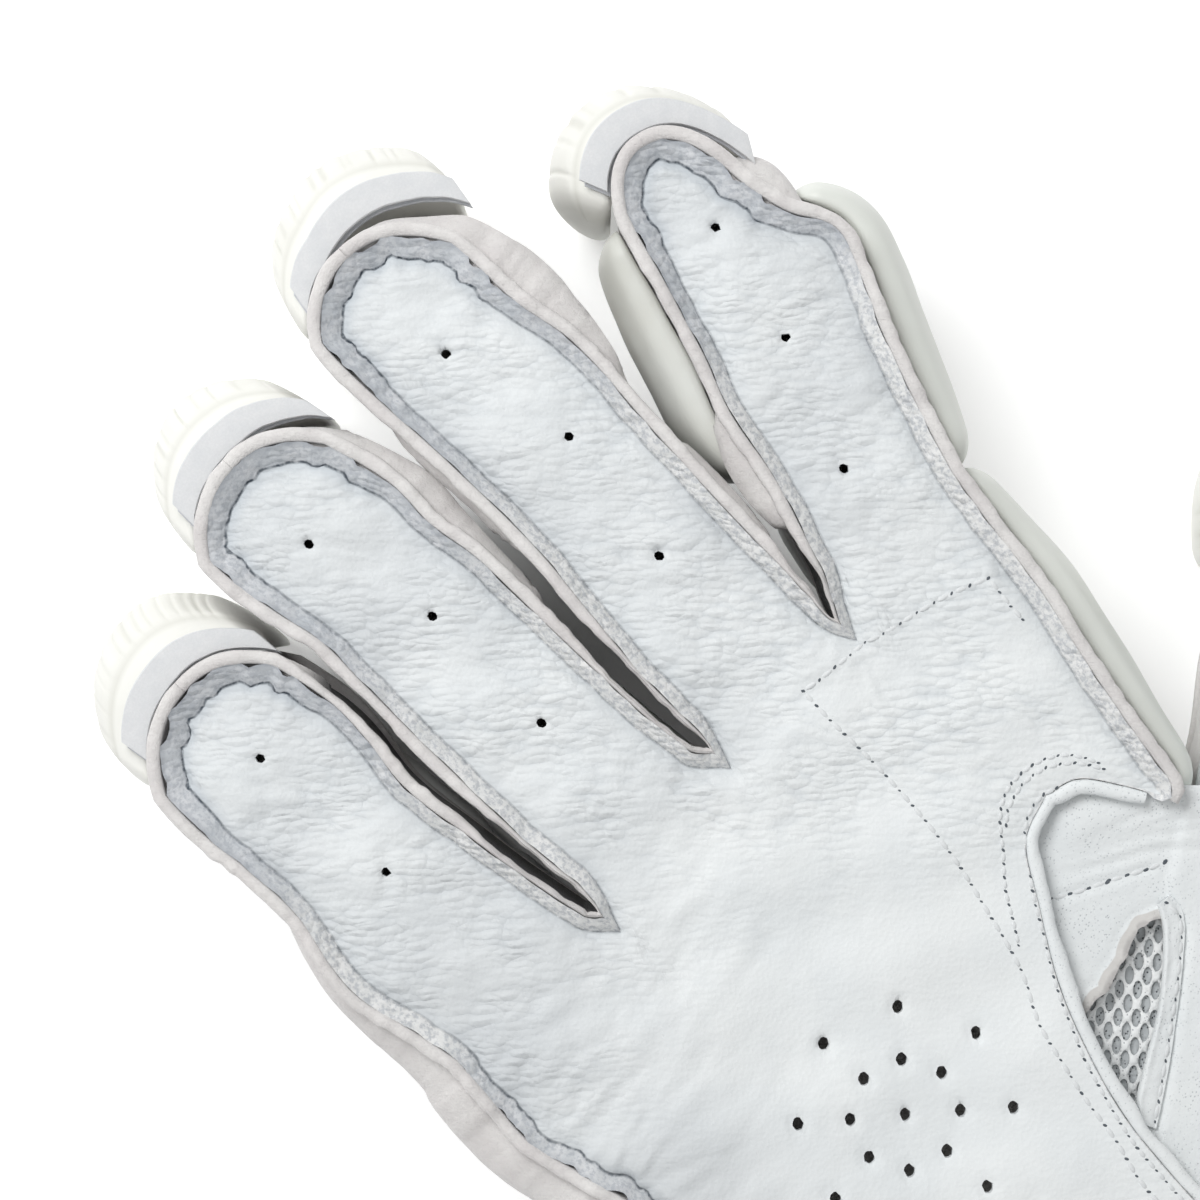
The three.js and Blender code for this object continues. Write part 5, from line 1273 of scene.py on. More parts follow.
def thumb_outline(first, last, count):
    """Places and outward ways along the thumb's free edge, from one of its corners to another."""
    upper = [r[:2] for r in THUMB_ROWS[FREE_ROW:]][::-1]
    corners = np.array([r[2:4] for r in THUMB_ROWS] + THUMB_TIP[::-1] + upper, float)
    steps = np.diff(corners, axis=0)
    tangent = np.vstack([steps[:1], corners[2:] - corners[:-2], steps[-1:]])
    tangent /= np.linalg.norm(tangent, axis=1)[:, None]
    line = np.column_stack([corners, tangent[:, 1] * 10, -tangent[:, 0] * 10])[first:last]
    line = smooth_line(line, count)
    return line[:, :2], line[:, 2:] / np.linalg.norm(line[:, 2:], axis=1)[:, None]


def make_thumb_side(material):
    """Cotton below the thumb's edge."""
    path, way = thumb_outline(0, None, 320)
    run = path_run(path)
    t = np.linspace(0, 1, 15)
    belly = 0.55 * np.sin(np.pi * t)
    out = np.concatenate([-0.2 + belly, [-0.7, -1.4, -1.5, -1.5, -1.4, -0.7]])
    z = np.concatenate([lerp(WALL_Z, 25.3, t), [25.45, 25.4, 24.0, 19.0, 17.2, 17.0]])
    ripple = 0.14 * noise(run[:, None] / 2.6, z[None] / 3.0) * (out[None] > -0.5)
    sections = np.stack([out[None] + ripple, np.broadcast_to(z, ripple.shape)], axis=2)
    sweep(path, way, sections, "thumb_cotton_side", material, nodes=["thumb_gusset"], slot="cotton",
          angle=80)


def make_thumb_cap(material):
    path, way = thumb_outline(len(THUMB_ROWS) - 3, len(THUMB_ROWS) + len(THUMB_TIP) + 2, CAP_STEPS)
    run = path_run(path)
    out = 8.0 * (0.12 + 0.88 * np.sin(np.pi * run / run[-1]) ** 0.6)
    cap_skin("thumb_cap_padded", "thumb_tip_cap", path + way * 0.6, way, out, THUMB_EDGE + 3, 9, material)


# The back sheet, wristband and strap.
BAND_X = 2.0  # middle of the cuff across the hand
BAND_HALF = 34.0  # its half width
BAND_TOP = 40.0
BAND_WALL = 2.2
BAND_POWER = 2.6  # 2 would make its section an ellipse, more makes it squarer
BAND_FROM = -107.0
BAND_TO = -52.9
# Strap and tab round the cuff: along the hand, height over the cuff, and first and last degree.
STRAP = dict(start=-92.0, end=-66.0, base=0.3, thick=1.8, first=-12, last=196)
TAB = dict(start=-89.0, end=-69.0, base=2.4, thick=1.8, first=108, last=172)


def band_place(turn, grow):
    """Across and up on the wristband's rounded ring at an angle, grown outwards."""
    c = np.cos(turn)
    s = np.sin(turn)
    power = 2 / BAND_POWER
    x = BAND_X + np.sign(c) * np.abs(c) ** power * (BAND_HALF + grow)
    return x, BAND_TOP / 2 + np.sign(s) * np.abs(s) ** power * (BAND_TOP / 2 + grow)


def even_turns(first, last, count):
    """Angles at even spacing on the ring."""
    fine = np.radians(np.linspace(first, last, 4001))
    x, z = band_place(fine, 0)
    run = np.concatenate([[0], np.cumsum(np.hypot(np.diff(x), np.diff(z)))])
    return np.interp(np.linspace(0, run[-1], count), run, fine)


def make_band_piece(name, node, turns, ys, grows, closed, material, slot):
    """Skin of a closed (y, grow) section carried round the wristband's ring."""
    x, z = band_place(turns[:, None], grows)
    points = np.stack([x, np.broadcast_to(ys, x.shape), np.maximum(z, 0.02)], axis=2)
    n, m = x.shape
    ids = np.arange(n * m).reshape(n, m)
    ids = np.column_stack([ids, ids[:, :1]])
    if closed:
        ids = np.vstack([ids, ids[:1]])
        ends = []
    else:
        ends = [list(range(m)), list(range((n - 1) * m, n * m))]
    return make_piece(name, points.reshape(-1, 3), [grid_faces(ids), *ends], material, [node], slot)


def make_wristband(material):
    """Ribbed cuff: a closed band, outside and inside."""
    turns = even_turns(0, 360, 241)[:-1]
    y = np.linspace(BAND_FROM, BAND_TO, 54)
    hem = np.exp(-((y - BAND_FROM - 2.2) / 1.6) ** 2) + np.exp(-((y - BAND_TO + 2.2) / 1.6) ** 2)
    ridge = 0.25 * noise(turns[:, None] * 9, y[None] / 16) - 0.25 + 0.3 * hem[None]
    edge = -0.9 * np.exp(-(y - BAND_FROM) / 0.9) - 0.9 * np.exp(-(BAND_TO - y) / 0.9)
    outer = ridge + edge[None]
    inner = np.full((len(turns), len(y)), -BAND_WALL - 0.1)
    grows = np.concatenate([outer, inner], axis=1)
    make_band_piece("wristband_knit", "wristband", turns, np.concatenate([y, y[::-1]])[None], grows, True,
                    material, "cotton")


def make_strap(name, node, sizes, crown, material, slot):
    """Strap or tab that lies round a part of the cuff."""
    turns = even_turns(sizes["first"], sizes["last"], 170)
    a, b = sizes["start"], sizes["end"]
    y = np.linspace(a, b, 40)
    near = np.minimum(y - a, b - y)
    top = sizes["base"] + sizes["thick"] * (0.62 + crown * smooth(1.8, 7, near)) - 0.14 * np.exp(
        -((near - 1.7) / 0.35) ** 2)
    top -= sizes["thick"] * 0.3 * np.exp(-near / 0.35)
    low = np.full(len(y), sizes["base"])
    run = np.arange(len(turns), dtype=float)
    soft = 0.07 * noise(run[:, None] / 9, y[None] / 8)
    grows = np.concatenate([top[None] + soft, np.broadcast_to(low, soft.shape)], axis=1)
    end = np.minimum(run, run[-1] - run)
    squeeze = lerp(0.80, 1.0, np.sqrt(1 - (1 - np.clip(end / 7, 0, 1)) ** 2))
    ys = (a + b) / 2 + (np.concatenate([y, y[::-1]])[None] - (a + b) / 2) * squeeze[:, None]
    make_band_piece(name, node, turns, ys, grows, False, material, slot)


def make_back_sheet(material):
    """Flat cloth sheet under the whole hand."""
    last = np.flatnonzero(seam.kind == "hand_side")[-1]
    i = np.arange(0, last + 1, 3)
    room = np.where(seam.is_crotch[i], seam.flange[i] * 0.85, seam.room[i] / 2 - 0.3)
    out = np.minimum(wall_out(i) + 0.15, np.maximum(room, 0.6))
    hand = seam.xy[i] + seam.normal[i] * out[:, None]
    path, way = thumb_outline(0, None, 130)
    thumb = (path + way * 0.4)[::-1][1:]
    outline = np.vstack([hand, thumb])
    tangent = np.roll(outline, -1, axis=0) - np.roll(outline, 1, axis=0)
    tangent /= np.maximum(np.linalg.norm(tangent, axis=1), 1e-6)[:, None]
    inner = outline + np.column_stack([tangent[:, 1], -tangent[:, 0]]) * 0.35
    n = len(outline)
    rings = [(inner, SHEET_Z), (outline, SHEET_Z + 0.35), (outline, SHEET_Z + 1.15), (inner, SHEET_Z + 1.5)]
    points = np.vstack([np.column_stack([xy, np.full(n, z)]) for xy, z in rings])
    ids = np.arange(4 * n).reshape(4, n)
    ids = np.column_stack([ids, ids[:, :1]])
    make_piece("back_sheet_cotton", points, [grid_faces(ids), list(range(n)), list(range(3 * n, 4 * n))],
               material, ["back_sheet"], "cotton", None, 50)


# Sewn lines: a needle hole at each step and a sunk thread between them.
STAR_PLACE = tuple((np.array([0.0, 0.0, PALM_Z]) + SHIFT) * MM)
STITCHES = {
    "patch_top": dict(on="palm", pitch=2.7, line=[
        (61.2, 42.0), (59.5, 42.8), (56.9, 44.0), (54.1, 45.0), (51.2, 45.9), (47.8, 46.7), (45.2, 47.5),
        (42.9, 48.4), (40.1, 48.6), (37.6, 49.1), (35.0, 49.4), (32.8, 49.9)]),
    "patch_left": dict(on="palm", pitch=2.7, line=[
        (32.8, 49.9), (32.4, 44.5), (32.3, 39.2), (32.1, 33.9), (31.6, 28.6), (31.3, 25.9), (29.8, 17.5),
        (28.2, 11.7), (26.6, 6.0), (24.8, 0.9), (21.7, -4.4), (19.9, -10.5), (18.3, -16.8), (17.1, -23.2),
        (15.4, -28.9), (14.6, -36.0), (13.9, -43.0), (13.2, -50.0)]),
    "patch_right": dict(on="palm", pitch=2.7, line=[
        (61.2, 42.0), (60.9, 39.9), (60.5, 37.3), (60.3, 34.7)]),
    "rim_outer": dict(on="palm", pitch=1.9, line=[
        (53.1, 13.8), (51.9, 16.5), (50.2, 18.4), (48.1, 19.7), (45.1, 20.5), (42.3, 20.5), (39.8, 19.5),
        (37.7, 17.8), (35.7, 15.3), (33.5, 13.0), (31.7, 11.0), (30.2, 8.7), (28.9, 6.7), (27.5, 4.7)]),
    "rim_outer_twin": dict(on="palm", pitch=2.1, line=[
        (53.0, 12.7), (51.3, 15.7), (49.3, 17.6), (47.5, 18.7), (45.7, 19.2), (43.6, 19.4), (42.0, 19.1),
        (40.0, 18.5), (38.3, 17.2)]),
    "rim_inner": dict(on="palm", pitch=2.0, line=[
        (52.3, 9.9), (50.3, 12.7), (48.5, 14.4), (46.1, 15.9), (43.9, 16.4), (41.4, 15.9), (39.5, 14.8),
        (38.1, 13.2), (35.8, 10.4), (33.1, 6.8), (31.2, 3.7), (28.2, -0.8), (26.0, -4.6), (24.0, -8.8),
        (22.2, -12.6), (20.9, -16.6), (19.6, -20.7), (18.4, -25.6), (17.7, -31.7), (16.8, -41.0),
        (16.2, -50.0)]),
    "web_seam": dict(on="thumb", pitch=2.65, big=1.7, line=WEB_SEAM + [(49.6, -2.6)]),
    "strip_seam": dict(on="strip", pitch=2.9, line=[
        (45.6, -6.4), (45.9, -8.2), (44.9, -9.9), (39.4, -14.4), (35.6, -17.1), (28.6, -21.8),
        (22.6, -25.8)]),
}


def small_part(kind, long, wide, high):
    """A small round body modelled once, as places and faces, its length along X."""
    bpy.ops.object.select_all(action="DESELECT")
    segments, rings = (8, 6) if kind == "thread" else (8, 4)
    bpy.ops.mesh.primitive_uv_sphere_add(segments=segments, ring_count=rings, radius=0.5)
    made = bpy.context.active_object
    bpy.ops.object.mode_set(mode="EDIT")
    bpy.ops.mesh.select_all(action="SELECT")
    bpy.ops.transform.rotate(value=math.pi / 2, orient_axis="Y", center_override=(0, 0, 0))
    bpy.ops.transform.resize(value=(long, wide, high))
    bpy.ops.object.mode_set(mode="OBJECT")
    places = np.array([v.co for v in made.data.vertices])
    faces = [list(p.vertices) for p in made.data.polygons]
    bpy.data.objects.remove(made, do_unlink=True)
    if kind == "thread":
        places[:, 2] -= 0.55 * high * np.abs(places[:, 0] / (long / 2)) ** 3
    return places, faces


def copies(part, places, turns, scales):
    """Many copies of one small part as one set of places and faces."""
    base, faces = part
    c = np.cos(turns)[:, None]
    s = np.sin(turns)[:, None]
    x = base[None, :, 0] * scales[:, None]
    y = base[None, :, 1] * np.minimum(scales, 1.6)[:, None]
    out = np.stack([places[:, :1] + x * c - y * s, places[:, 1:2] + x * s + y * c,
                    places[:, 2:] + base[None, :, 2]], axis=2)
    n = len(base)
    many = [[v + k * n for v in face] for k in range(len(places)) for face in faces]
    return out.reshape(-1, 3), many


def heights_on(piece, xy):
    """Height in millimetres of a piece's upper side below each place."""
    graph = bpy.context.evaluated_depsgraph_get()
    tree = BVHTree.FromObject(piece, graph)
    out = []
    for place in xy:
        hit = tree.ray_cast(to_world((*place, 200.0)), Vector((0, 0, -1)))[0]
        out.append(np.nan if hit is None else hit.z / MM)
    return np.array(out)


def make_stitches(grounds, thread, shade):
    """Threads and needle holes along each line of stitching."""
    rng = np.random.default_rng(5)
    thread_part = small_part("thread", 1.0, 0.42, 0.34)
    hole_part = small_part("hole", 0.62, 0.36, 0.12)
    threads = []
    holes = []
    for sizes in STITCHES.values():
        length = path_run(smooth_line(sizes["line"], 400))[-1]
        count = max(int(round(length / sizes["pitch"])), 1)
        at = smooth_line(sizes["line"], count)
        way = np.diff(at, axis=0)
        middle = (at[1:] + at[:-1]) / 2
        turn = np.arctan2(way[:, 1], way[:, 0])
        size = np.linalg.norm(way, axis=1)
        z = heights_on(grounds[sizes["on"]], middle)
        threads.append((np.column_stack([middle, z + 0.02]), turn, size * 0.74))
        z = heights_on(grounds[sizes["on"]], at)
        spread = sizes.get("big", 1.0) * rng.uniform(0.75, 1.15, len(at))
        tilt = np.append(turn, turn[-1]) + rng.uniform(0.25, 0.75, len(at))
        holes.append((np.column_stack([at, z + 0.015]), tilt, spread))
    for name, part, rows, material in (("stitch_threads", thread_part, threads, thread),
                                       ("needle_holes", hole_part, holes, shade)):
        places, turns, scales = (np.concatenate(column) for column in zip(*rows))
        sound = ~np.isnan(places[:, 2])
        points, faces = copies(part, places[sound], turns[sound], scales[sound])
        make_polygons(name, points, faces, material)


# Finishes.
class Finish:
    """A material and short ways to add and join its nodes."""

    def __init__(self, name):
        self.material = bpy.data.materials.new(name)
        self.material.use_nodes = True
        self.tree = self.material.node_tree
        self.surface = self.tree.nodes["Principled BSDF"]
        self.place = self.node("ShaderNodeTexCoord").outputs["Object"]

    def node(self, kind, inputs=None, **settings):
        made = self.tree.nodes.new(kind)
        for key, value in settings.items():
            setattr(made, key, value)
        for key, value in (inputs or {}).items():
            self.put(made.inputs[key], value)
        return made

    def put(self, socket, value):
        if isinstance(value, bpy.types.NodeSocket):
            self.tree.links.new(value, socket)
        else:
            socket.default_value = value

    def math(self, operation, *values):
        made = self.tree.nodes.new("ShaderNodeMath")
        made.operation = operation
        for socket, value in zip(made.inputs, values):
            self.put(socket, value)
        return made.outputs[0]

    def attribute(self, name):
        return self.node("ShaderNodeAttribute", attribute_name=name).outputs["Fac"]

    def stretched(self, turn, scale):
        """Object coordinates turned about Z and stretched; sizes in millimetres a cycle."""
        made = self.node("ShaderNodeMapping", {"Vector": self.place})
        made.vector_type = "TEXTURE"
        made.inputs["Rotation"].default_value = (0, 0, math.radians(turn))
        made.inputs["Scale"].default_value = [v * MM for v in scale]
        return made.outputs[0]

    def noise(self, vector, detail=2.0, rough=0.5, warp=0.0, scale=1.0):
        return self.node("ShaderNodeTexNoise", {"Vector": vector, "Scale": scale, "Detail": detail,
                                                "Roughness": rough, "Distortion": warp}).outputs["Fac"]

    def cells(self, vector):
        return self.node("ShaderNodeTexVoronoi", {"Vector": vector, "Scale": 1.0}).outputs["Distance"]

    def band(self, value, low, high):
        """0 below low, 1 above high, smooth between."""
        made = self.node("ShaderNodeMapRange", {"Value": value, "From Min": low, "From Max": high})
        made.interpolation_type = "SMOOTHSTEP"
        return made.outputs[0]

    def mix(self, amount, a, b):
        """Colour a where amount is 0, b where it is 1."""
        made = self.node("ShaderNodeMix", data_type="RGBA")
        self.put(made.inputs["Factor"], amount)
        self.put(made.inputs["A"], a)
        self.put(made.inputs["B"], b)
        return made.outputs["Result"]

    def vector(self, operation, *values):
        """Vector arithmetic; a number where the operation gives one."""
        made = self.node("ShaderNodeVectorMath", dict(enumerate(values)), operation=operation)
        return made.outputs["Value" if operation in ("LENGTH", "DISTANCE") else "Vector"]

    def bump(self, height, distance, strength):
        made = self.node("ShaderNodeBump", {"Height": height, "Strength": strength,
                                            "Distance": distance * MM})
        return made.outputs[0]

    def done(self, colour, rough, normal=None, **more):
        self.put(self.surface.inputs["Base Color"], colour)
        self.put(self.surface.inputs["Roughness"], rough)
        if normal is not None:
            self.put(self.surface.inputs["Normal"], normal)
        for key, value in more.items():
            self.surface.inputs[key.replace("_", " ")].default_value = value
        return self.material


def rgb(r, g, b):
    """Colour as the eye's 0 to 255 values, made linear."""
    out = []
    for v in (r, g, b):
        v = v / 255
        out.append(v / 12.92 if v <= 0.04045 else ((v + 0.055) / 1.055) ** 2.4)
    return (*out, 1.0)


def palm_finish():
    """White leather: wrinkles with painted shade in their valleys, painted shade beside and along the seam,
    and its turned-up edge greyed with painted shade.
    """
    m = Finish("white palm leather")
    d = m.attribute("from_seam")
    run = m.attribute("along_seam")
    tip = m.attribute("tip_part")
    upper = m.attribute("upper_part")
    side = m.attribute("side_part")
    edge = m.attribute("to_edge")
    rim = m.attribute("rim_part")
    seam_way = m.node("ShaderNodeCombineXYZ", {"X": run, "Y": m.math("MULTIPLY", d, 0.35)}).outputs[0]
    tooth = m.noise(seam_way, 2.0, 0.6, 0.0, 0.85)
    wander = m.noise(seam_way, 1.0, 0.5, 0.0, 0.28)
    d_cut = m.math("ADD", d, m.math("MULTIPLY", m.math("SUBTRACT", tooth, 0.5), 0.5))
    white, height = grained(m)
    drift = m.noise(m.stretched(0, (5, 5, 5)), 2.0, 0.5)
    bent = m.vector("ADD", m.stretched(-47, (2.7, 0.95, 1.5)), m.math("MULTIPLY", drift, 1.6))
    folds = m.cells(bent)
    fade = m.band(m.noise(m.stretched(0, (9, 9, 9)), 1.0), 0.30, 0.62)
    calm = m.band(m.node("ShaderNodeVectorMath", {0: m.place, 1: STAR_PLACE}, operation="DISTANCE"
                         ).outputs["Value"], 0.024, 0.055)
    depth = m.math("MULTIPLY", m.math("ADD", m.math("MULTIPLY", fade, 0.8), 0.2), m.math("ADD", calm, 0.12))
    # Painted shade: the colour is darkened in the wrinkle valleys.
    crease_shade = m.math("MULTIPLY", m.band(folds, 0.45, 0.9), depth)
    white = m.mix(m.math("MULTIPLY", crease_shade, 0.34), white, rgb(196, 203, 208))
    white = m.mix(m.attribute("shade_part"), white, rgb(196, 200, 203))
    # Painted shade: bluish darkening within 2.2 mm of the seam, stronger at the fingertips.
    near = m.math("MULTIPLY", m.band(d, 2.2, 0.0), m.math("ADD", m.math("MULTIPLY", tip, 0.30), 0.10))
    white = m.mix(near, white, rgb(168, 178, 188))
    # Painted shade: the turned-up edge is grey where it stands up at the tips, upper fingers and little
    # finger's side, and paler elsewhere; the fine speckle over it is its nap.
    grey = m.mix(m.band(wander, 0.35, 0.7), rgb(196, 200, 204), rgb(215, 217, 220))
    pale = m.mix(m.band(wander, 0.3, 0.7), rgb(226, 227, 226), rgb(235, 235, 234))
    flange_shade_strength = m.math("MAXIMUM", upper, m.math("MULTIPLY", side, 0.75))
    edge_tone_and_shade = m.mix(flange_shade_strength, pale, grey)
    # Painted shadow: a dark line along the leather's outer edge by the cotton roll, on the upper parts.
    roll_gap_shade = m.math("MULTIPLY", m.band(edge, 0.9, 0.05), m.math("MULTIPLY", flange_shade_strength, 0.34))
    edge_tone_and_shade = m.mix(roll_gap_shade, edge_tone_and_shade, rgb(128, 134, 144))
    nap = m.noise(m.stretched(0, (0.8, 0.8, 0.8)), 3.0, 0.7)
    edge_tone_and_shade = m.mix(m.math("MULTIPLY", m.band(nap, 0.58, 0.36), 0.6), edge_tone_and_shade, rgb(168, 173, 180))
    colour = m.mix(m.band(d_cut, 0.10, -0.12), white, edge_tone_and_shade)
    # Painted shade: a dark, broken line in the seam crease, strongest at the tips and the little finger's
    # side, left out at the rim.
    line = m.math("SUBTRACT", 1.0, m.band(m.math("ABSOLUTE", d_cut), 0.05, 0.30))
    force = m.math("ADD", 0.34, m.math("MULTIPLY", m.math("MAXIMUM", tip, side), 0.42))
    force = m.math("ADD", force, m.math("MULTIPLY", upper, 0.14))
    broken = m.math("ADD", 0.35, m.math("MULTIPLY", m.band(tooth, 0.3, 0.65), 0.75))
    force = m.math("MULTIPLY", force, broken)
    force = m.math("MULTIPLY", force, m.math("SUBTRACT", 1.0, rim))
    colour = m.mix(m.math("MULTIPLY", line, force), colour, rgb(62, 72, 82))
    deep = m.math("MULTIPLY", m.math("MULTIPLY", folds, depth), 2.0)
    height = m.math("SUBTRACT", m.math("MULTIPLY", height, 0.5), deep)
    normal = m.bump(height, 0.22, 0.8)
    return m.done(colour, 0.58, normal, Specular_IOR_Level=0.35)


def grained(m):
    """Colour and height of the white leather's grain, pores and fine folds."""
    blot = m.noise(m.stretched(0, (14, 14, 14)), 3.0, 0.6)
    patchy = m.noise(m.stretched(0, (3.5, 3.5, 3.5)), 3.0, 0.6)
    white = m.mix(m.band(blot, 0.3, 0.7), rgb(230, 234, 235), rgb(237, 240, 240))
    white = m.mix(m.math("MULTIPLY", patchy, 0.25), white, rgb(221, 225, 227))
    grain = m.cells(m.stretched(0, (0.62, 0.62, 0.62)))
    pores = m.noise(m.stretched(0, (0.22, 0.22, 0.22)), 2.0, 0.6)
    height = m.math("ADD", m.math("MULTIPLY", grain, 0.55), m.math("MULTIPLY", pores, 0.35))
    return white, height


def thumb_finish():
    """Palm leather with fine dark pores in rows, and a raw cut edge round the window."""
    m = Finish("white thumb leather")
    white, height = grained(m)
    dots = m.cells(m.stretched(12, (0.56, 0.42, 0.5)))
    strength = m.band(m.noise(m.stretched(0, (6, 6, 6)), 2.0), 0.35, 0.7)
    deep = m.math("ADD", 0.12, m.math("MULTIPLY", strength, 0.3))
    pore = m.math("MULTIPLY", m.band(dots, 0.30, 0.12), deep)
    colour = m.mix(pore, white, rgb(120, 130, 138))
    raw = m.attribute("raw_edge")
    edge_tone_and_shade = m.mix(m.band(raw, 0.75, 0.2), rgb(206, 204, 201), rgb(182, 180, 178))
    colour = m.mix(m.band(raw, 1.5, 1.25), colour, edge_tone_and_shade)
    height = m.math("SUBTRACT", height, m.math("MULTIPLY", pore, 1.4))
    return m.done(colour, 0.58, m.bump(height, 0.12, 0.6), Specular_IOR_Level=0.35)


def knit_finishes():
    """White knitted mesh with pinholes, and the greyer skin that shows through its gaps."""
    made = []
    for name, light, dark, low, force in (("white knit", (244, 246, 246), (150, 156, 160), 0.26, 0.75),
                                          ("grey knit", (190, 194, 196), (60, 66, 70), 0.34, 0.95)):
        m = Finish(name)
        loops = m.cells(m.stretched(40, (0.62, 0.50, 0.6)))
        strands = m.noise(m.stretched(40, (0.5, 0.18, 0.4)), 2.0, 0.6)
        pin = m.math("MULTIPLY", m.band(loops, low, 0.12), force)
        colour = m.mix(pin, rgb(*light), rgb(*dark))
        colour = m.mix(m.math("MULTIPLY", strands, 0.18), colour, rgb(*[v - 30 for v in light]))
        height = m.math("ADD", loops, m.math("MULTIPLY", strands, 0.4))
        made.append(m.done(colour, 0.85, m.bump(m.math("SUBTRACT", height, pin), 0.14, 0.7),
                           Specular_IOR_Level=0.2))
    return made


def thread_finish():
    m = Finish("white thread")
    twist = m.noise(m.stretched(30, (0.3, 0.12, 0.2)), 2.0, 0.6)
    colour = m.mix(twist, rgb(232, 234, 234), rgb(214, 218, 220))
    return m.done(colour, 0.7, m.bump(twist, 0.05, 0.6), Specular_IOR_Level=0.3)


def shade_finish():
    m = Finish("needle hole shade")
    soft = m.noise(m.stretched(0, (0.4, 0.4, 0.4)), 2.0, 0.6)
    colour = m.mix(soft, rgb(66, 72, 78), rgb(116, 122, 128))
    return m.done(colour, 0.95, m.bump(soft, 0.04, 0.5), Specular_IOR_Level=0.05)


def rib_finish():
    m = Finish("ribbed cuff knit")
    cloud = m.noise(m.stretched(0, (9, 30, 9)), 3.0, 0.6)
    loops = m.noise(m.stretched(0, (0.5, 0.9, 0.5)), 2.0, 0.6)
    colour = m.mix(m.band(cloud, 0.3, 0.75), rgb(238, 238, 235), rgb(226, 226, 223))
    colour = m.mix(m.math("MULTIPLY", m.band(loops, 0.6, 0.3), 0.3), colour, rgb(196, 196, 192))
    ribs = m.node("ShaderNodeTexWave",
                  {"Vector": m.stretched(0, (1, 60, 60)), "Scale": 0.45, "Distortion": 0.3},
                  wave_type="BANDS", bands_direction="X").outputs["Fac"]
    height = m.math("ADD", ribs, m.math("MULTIPLY", loops, 0.5))
    return m.done(colour, 0.9, m.bump(height, 0.35, 0.7), Sheen_Weight=0.2, Specular_IOR_Level=0.2)


def cotton_finish(name="cream cotton", tone=(230, 228, 226), shade=(217, 213, 212)):
    m = Finish(name)
    cloud = m.noise(m.stretched(0, (9, 9, 9)), 3.0, 0.6)
    fluff = m.noise(m.stretched(0, (0.7, 0.7, 0.7)), 4.0, 0.75, 0.4)
    hairs = m.noise(m.stretched(-47, (1.6, 0.25, 0.5)), 3.0, 0.7, 1.2)
    colour = m.mix(m.band(cloud, 0.3, 0.75), rgb(*tone), rgb(*shade))
    darker = rgb(*[v - 14 for v in shade])
    colour = m.mix(m.math("MULTIPLY", m.band(fluff, 0.55, 0.3), 0.30), colour, darker)
    # Painted shade: near black deep in the slots between fingers.
    colour = m.mix(m.math("MULTIPLY", m.attribute("painted_slot_shade"), 0.96), colour, rgb(30, 27, 30))
    height = m.math("ADD", fluff, m.math("MULTIPLY", hairs, 0.6))
    return m.done(colour, 0.95, m.bump(height, 0.26, 0.8), Sheen_Weight=0.35, Sheen_Roughness=0.5,
                  Specular_IOR_Level=0.15)


def smooth_leather(name, light, shade, rough=0.42, grain=0.5, spec=0.4):
    m = Finish(name)
    cloud = m.noise(m.stretched(0, (16, 16, 16)), 3.0, 0.55)
    colour = m.mix(m.band(cloud, 0.3, 0.7), rgb(*shade), rgb(*light))
    # Painted shade in the folds and grooves that a piece marks.
    colour = m.mix(m.math("MULTIPLY", m.attribute("painted_fold_shade"), 0.55), colour, rgb(198, 198, 188))
    pebble = m.cells(m.stretched(0, (0.55, 0.55, 0.55)))
    fine = m.noise(m.stretched(0, (0.2, 0.2, 0.2)), 2.0, 0.6)
    worn = m.noise(m.stretched(30, (5, 2.2, 3)), 3.0, 0.6)
    roughness = m.math("ADD", rough - 0.06, m.math("MULTIPLY", worn, 0.14))
    height = m.math("ADD", m.math("MULTIPLY", pebble, 0.6), m.math("MULTIPLY", fine, 0.3))
    return m.done(colour, roughness, m.bump(height, 0.05, grain), Specular_IOR_Level=spec)


def suede_finish(name, light, shade):
    m = Finish(name)
    cloud = m.noise(m.stretched(0, (3, 3, 3)), 4.0, 0.65)
    nap = m.noise(m.stretched(0, (0.3, 0.3, 0.3)), 3.0, 0.7)
    colour = m.mix(m.band(cloud, 0.25, 0.75), rgb(*shade), rgb(*light))
    colour = m.mix(m.math("MULTIPLY", m.band(nap, 0.62, 0.4), 0.18), colour, rgb(*[v - 20 for v in shade]))
    return m.done(colour, 0.85, m.bump(nap, 0.06, 0.6), Sheen_Weight=0.15, Specular_IOR_Level=0.2)


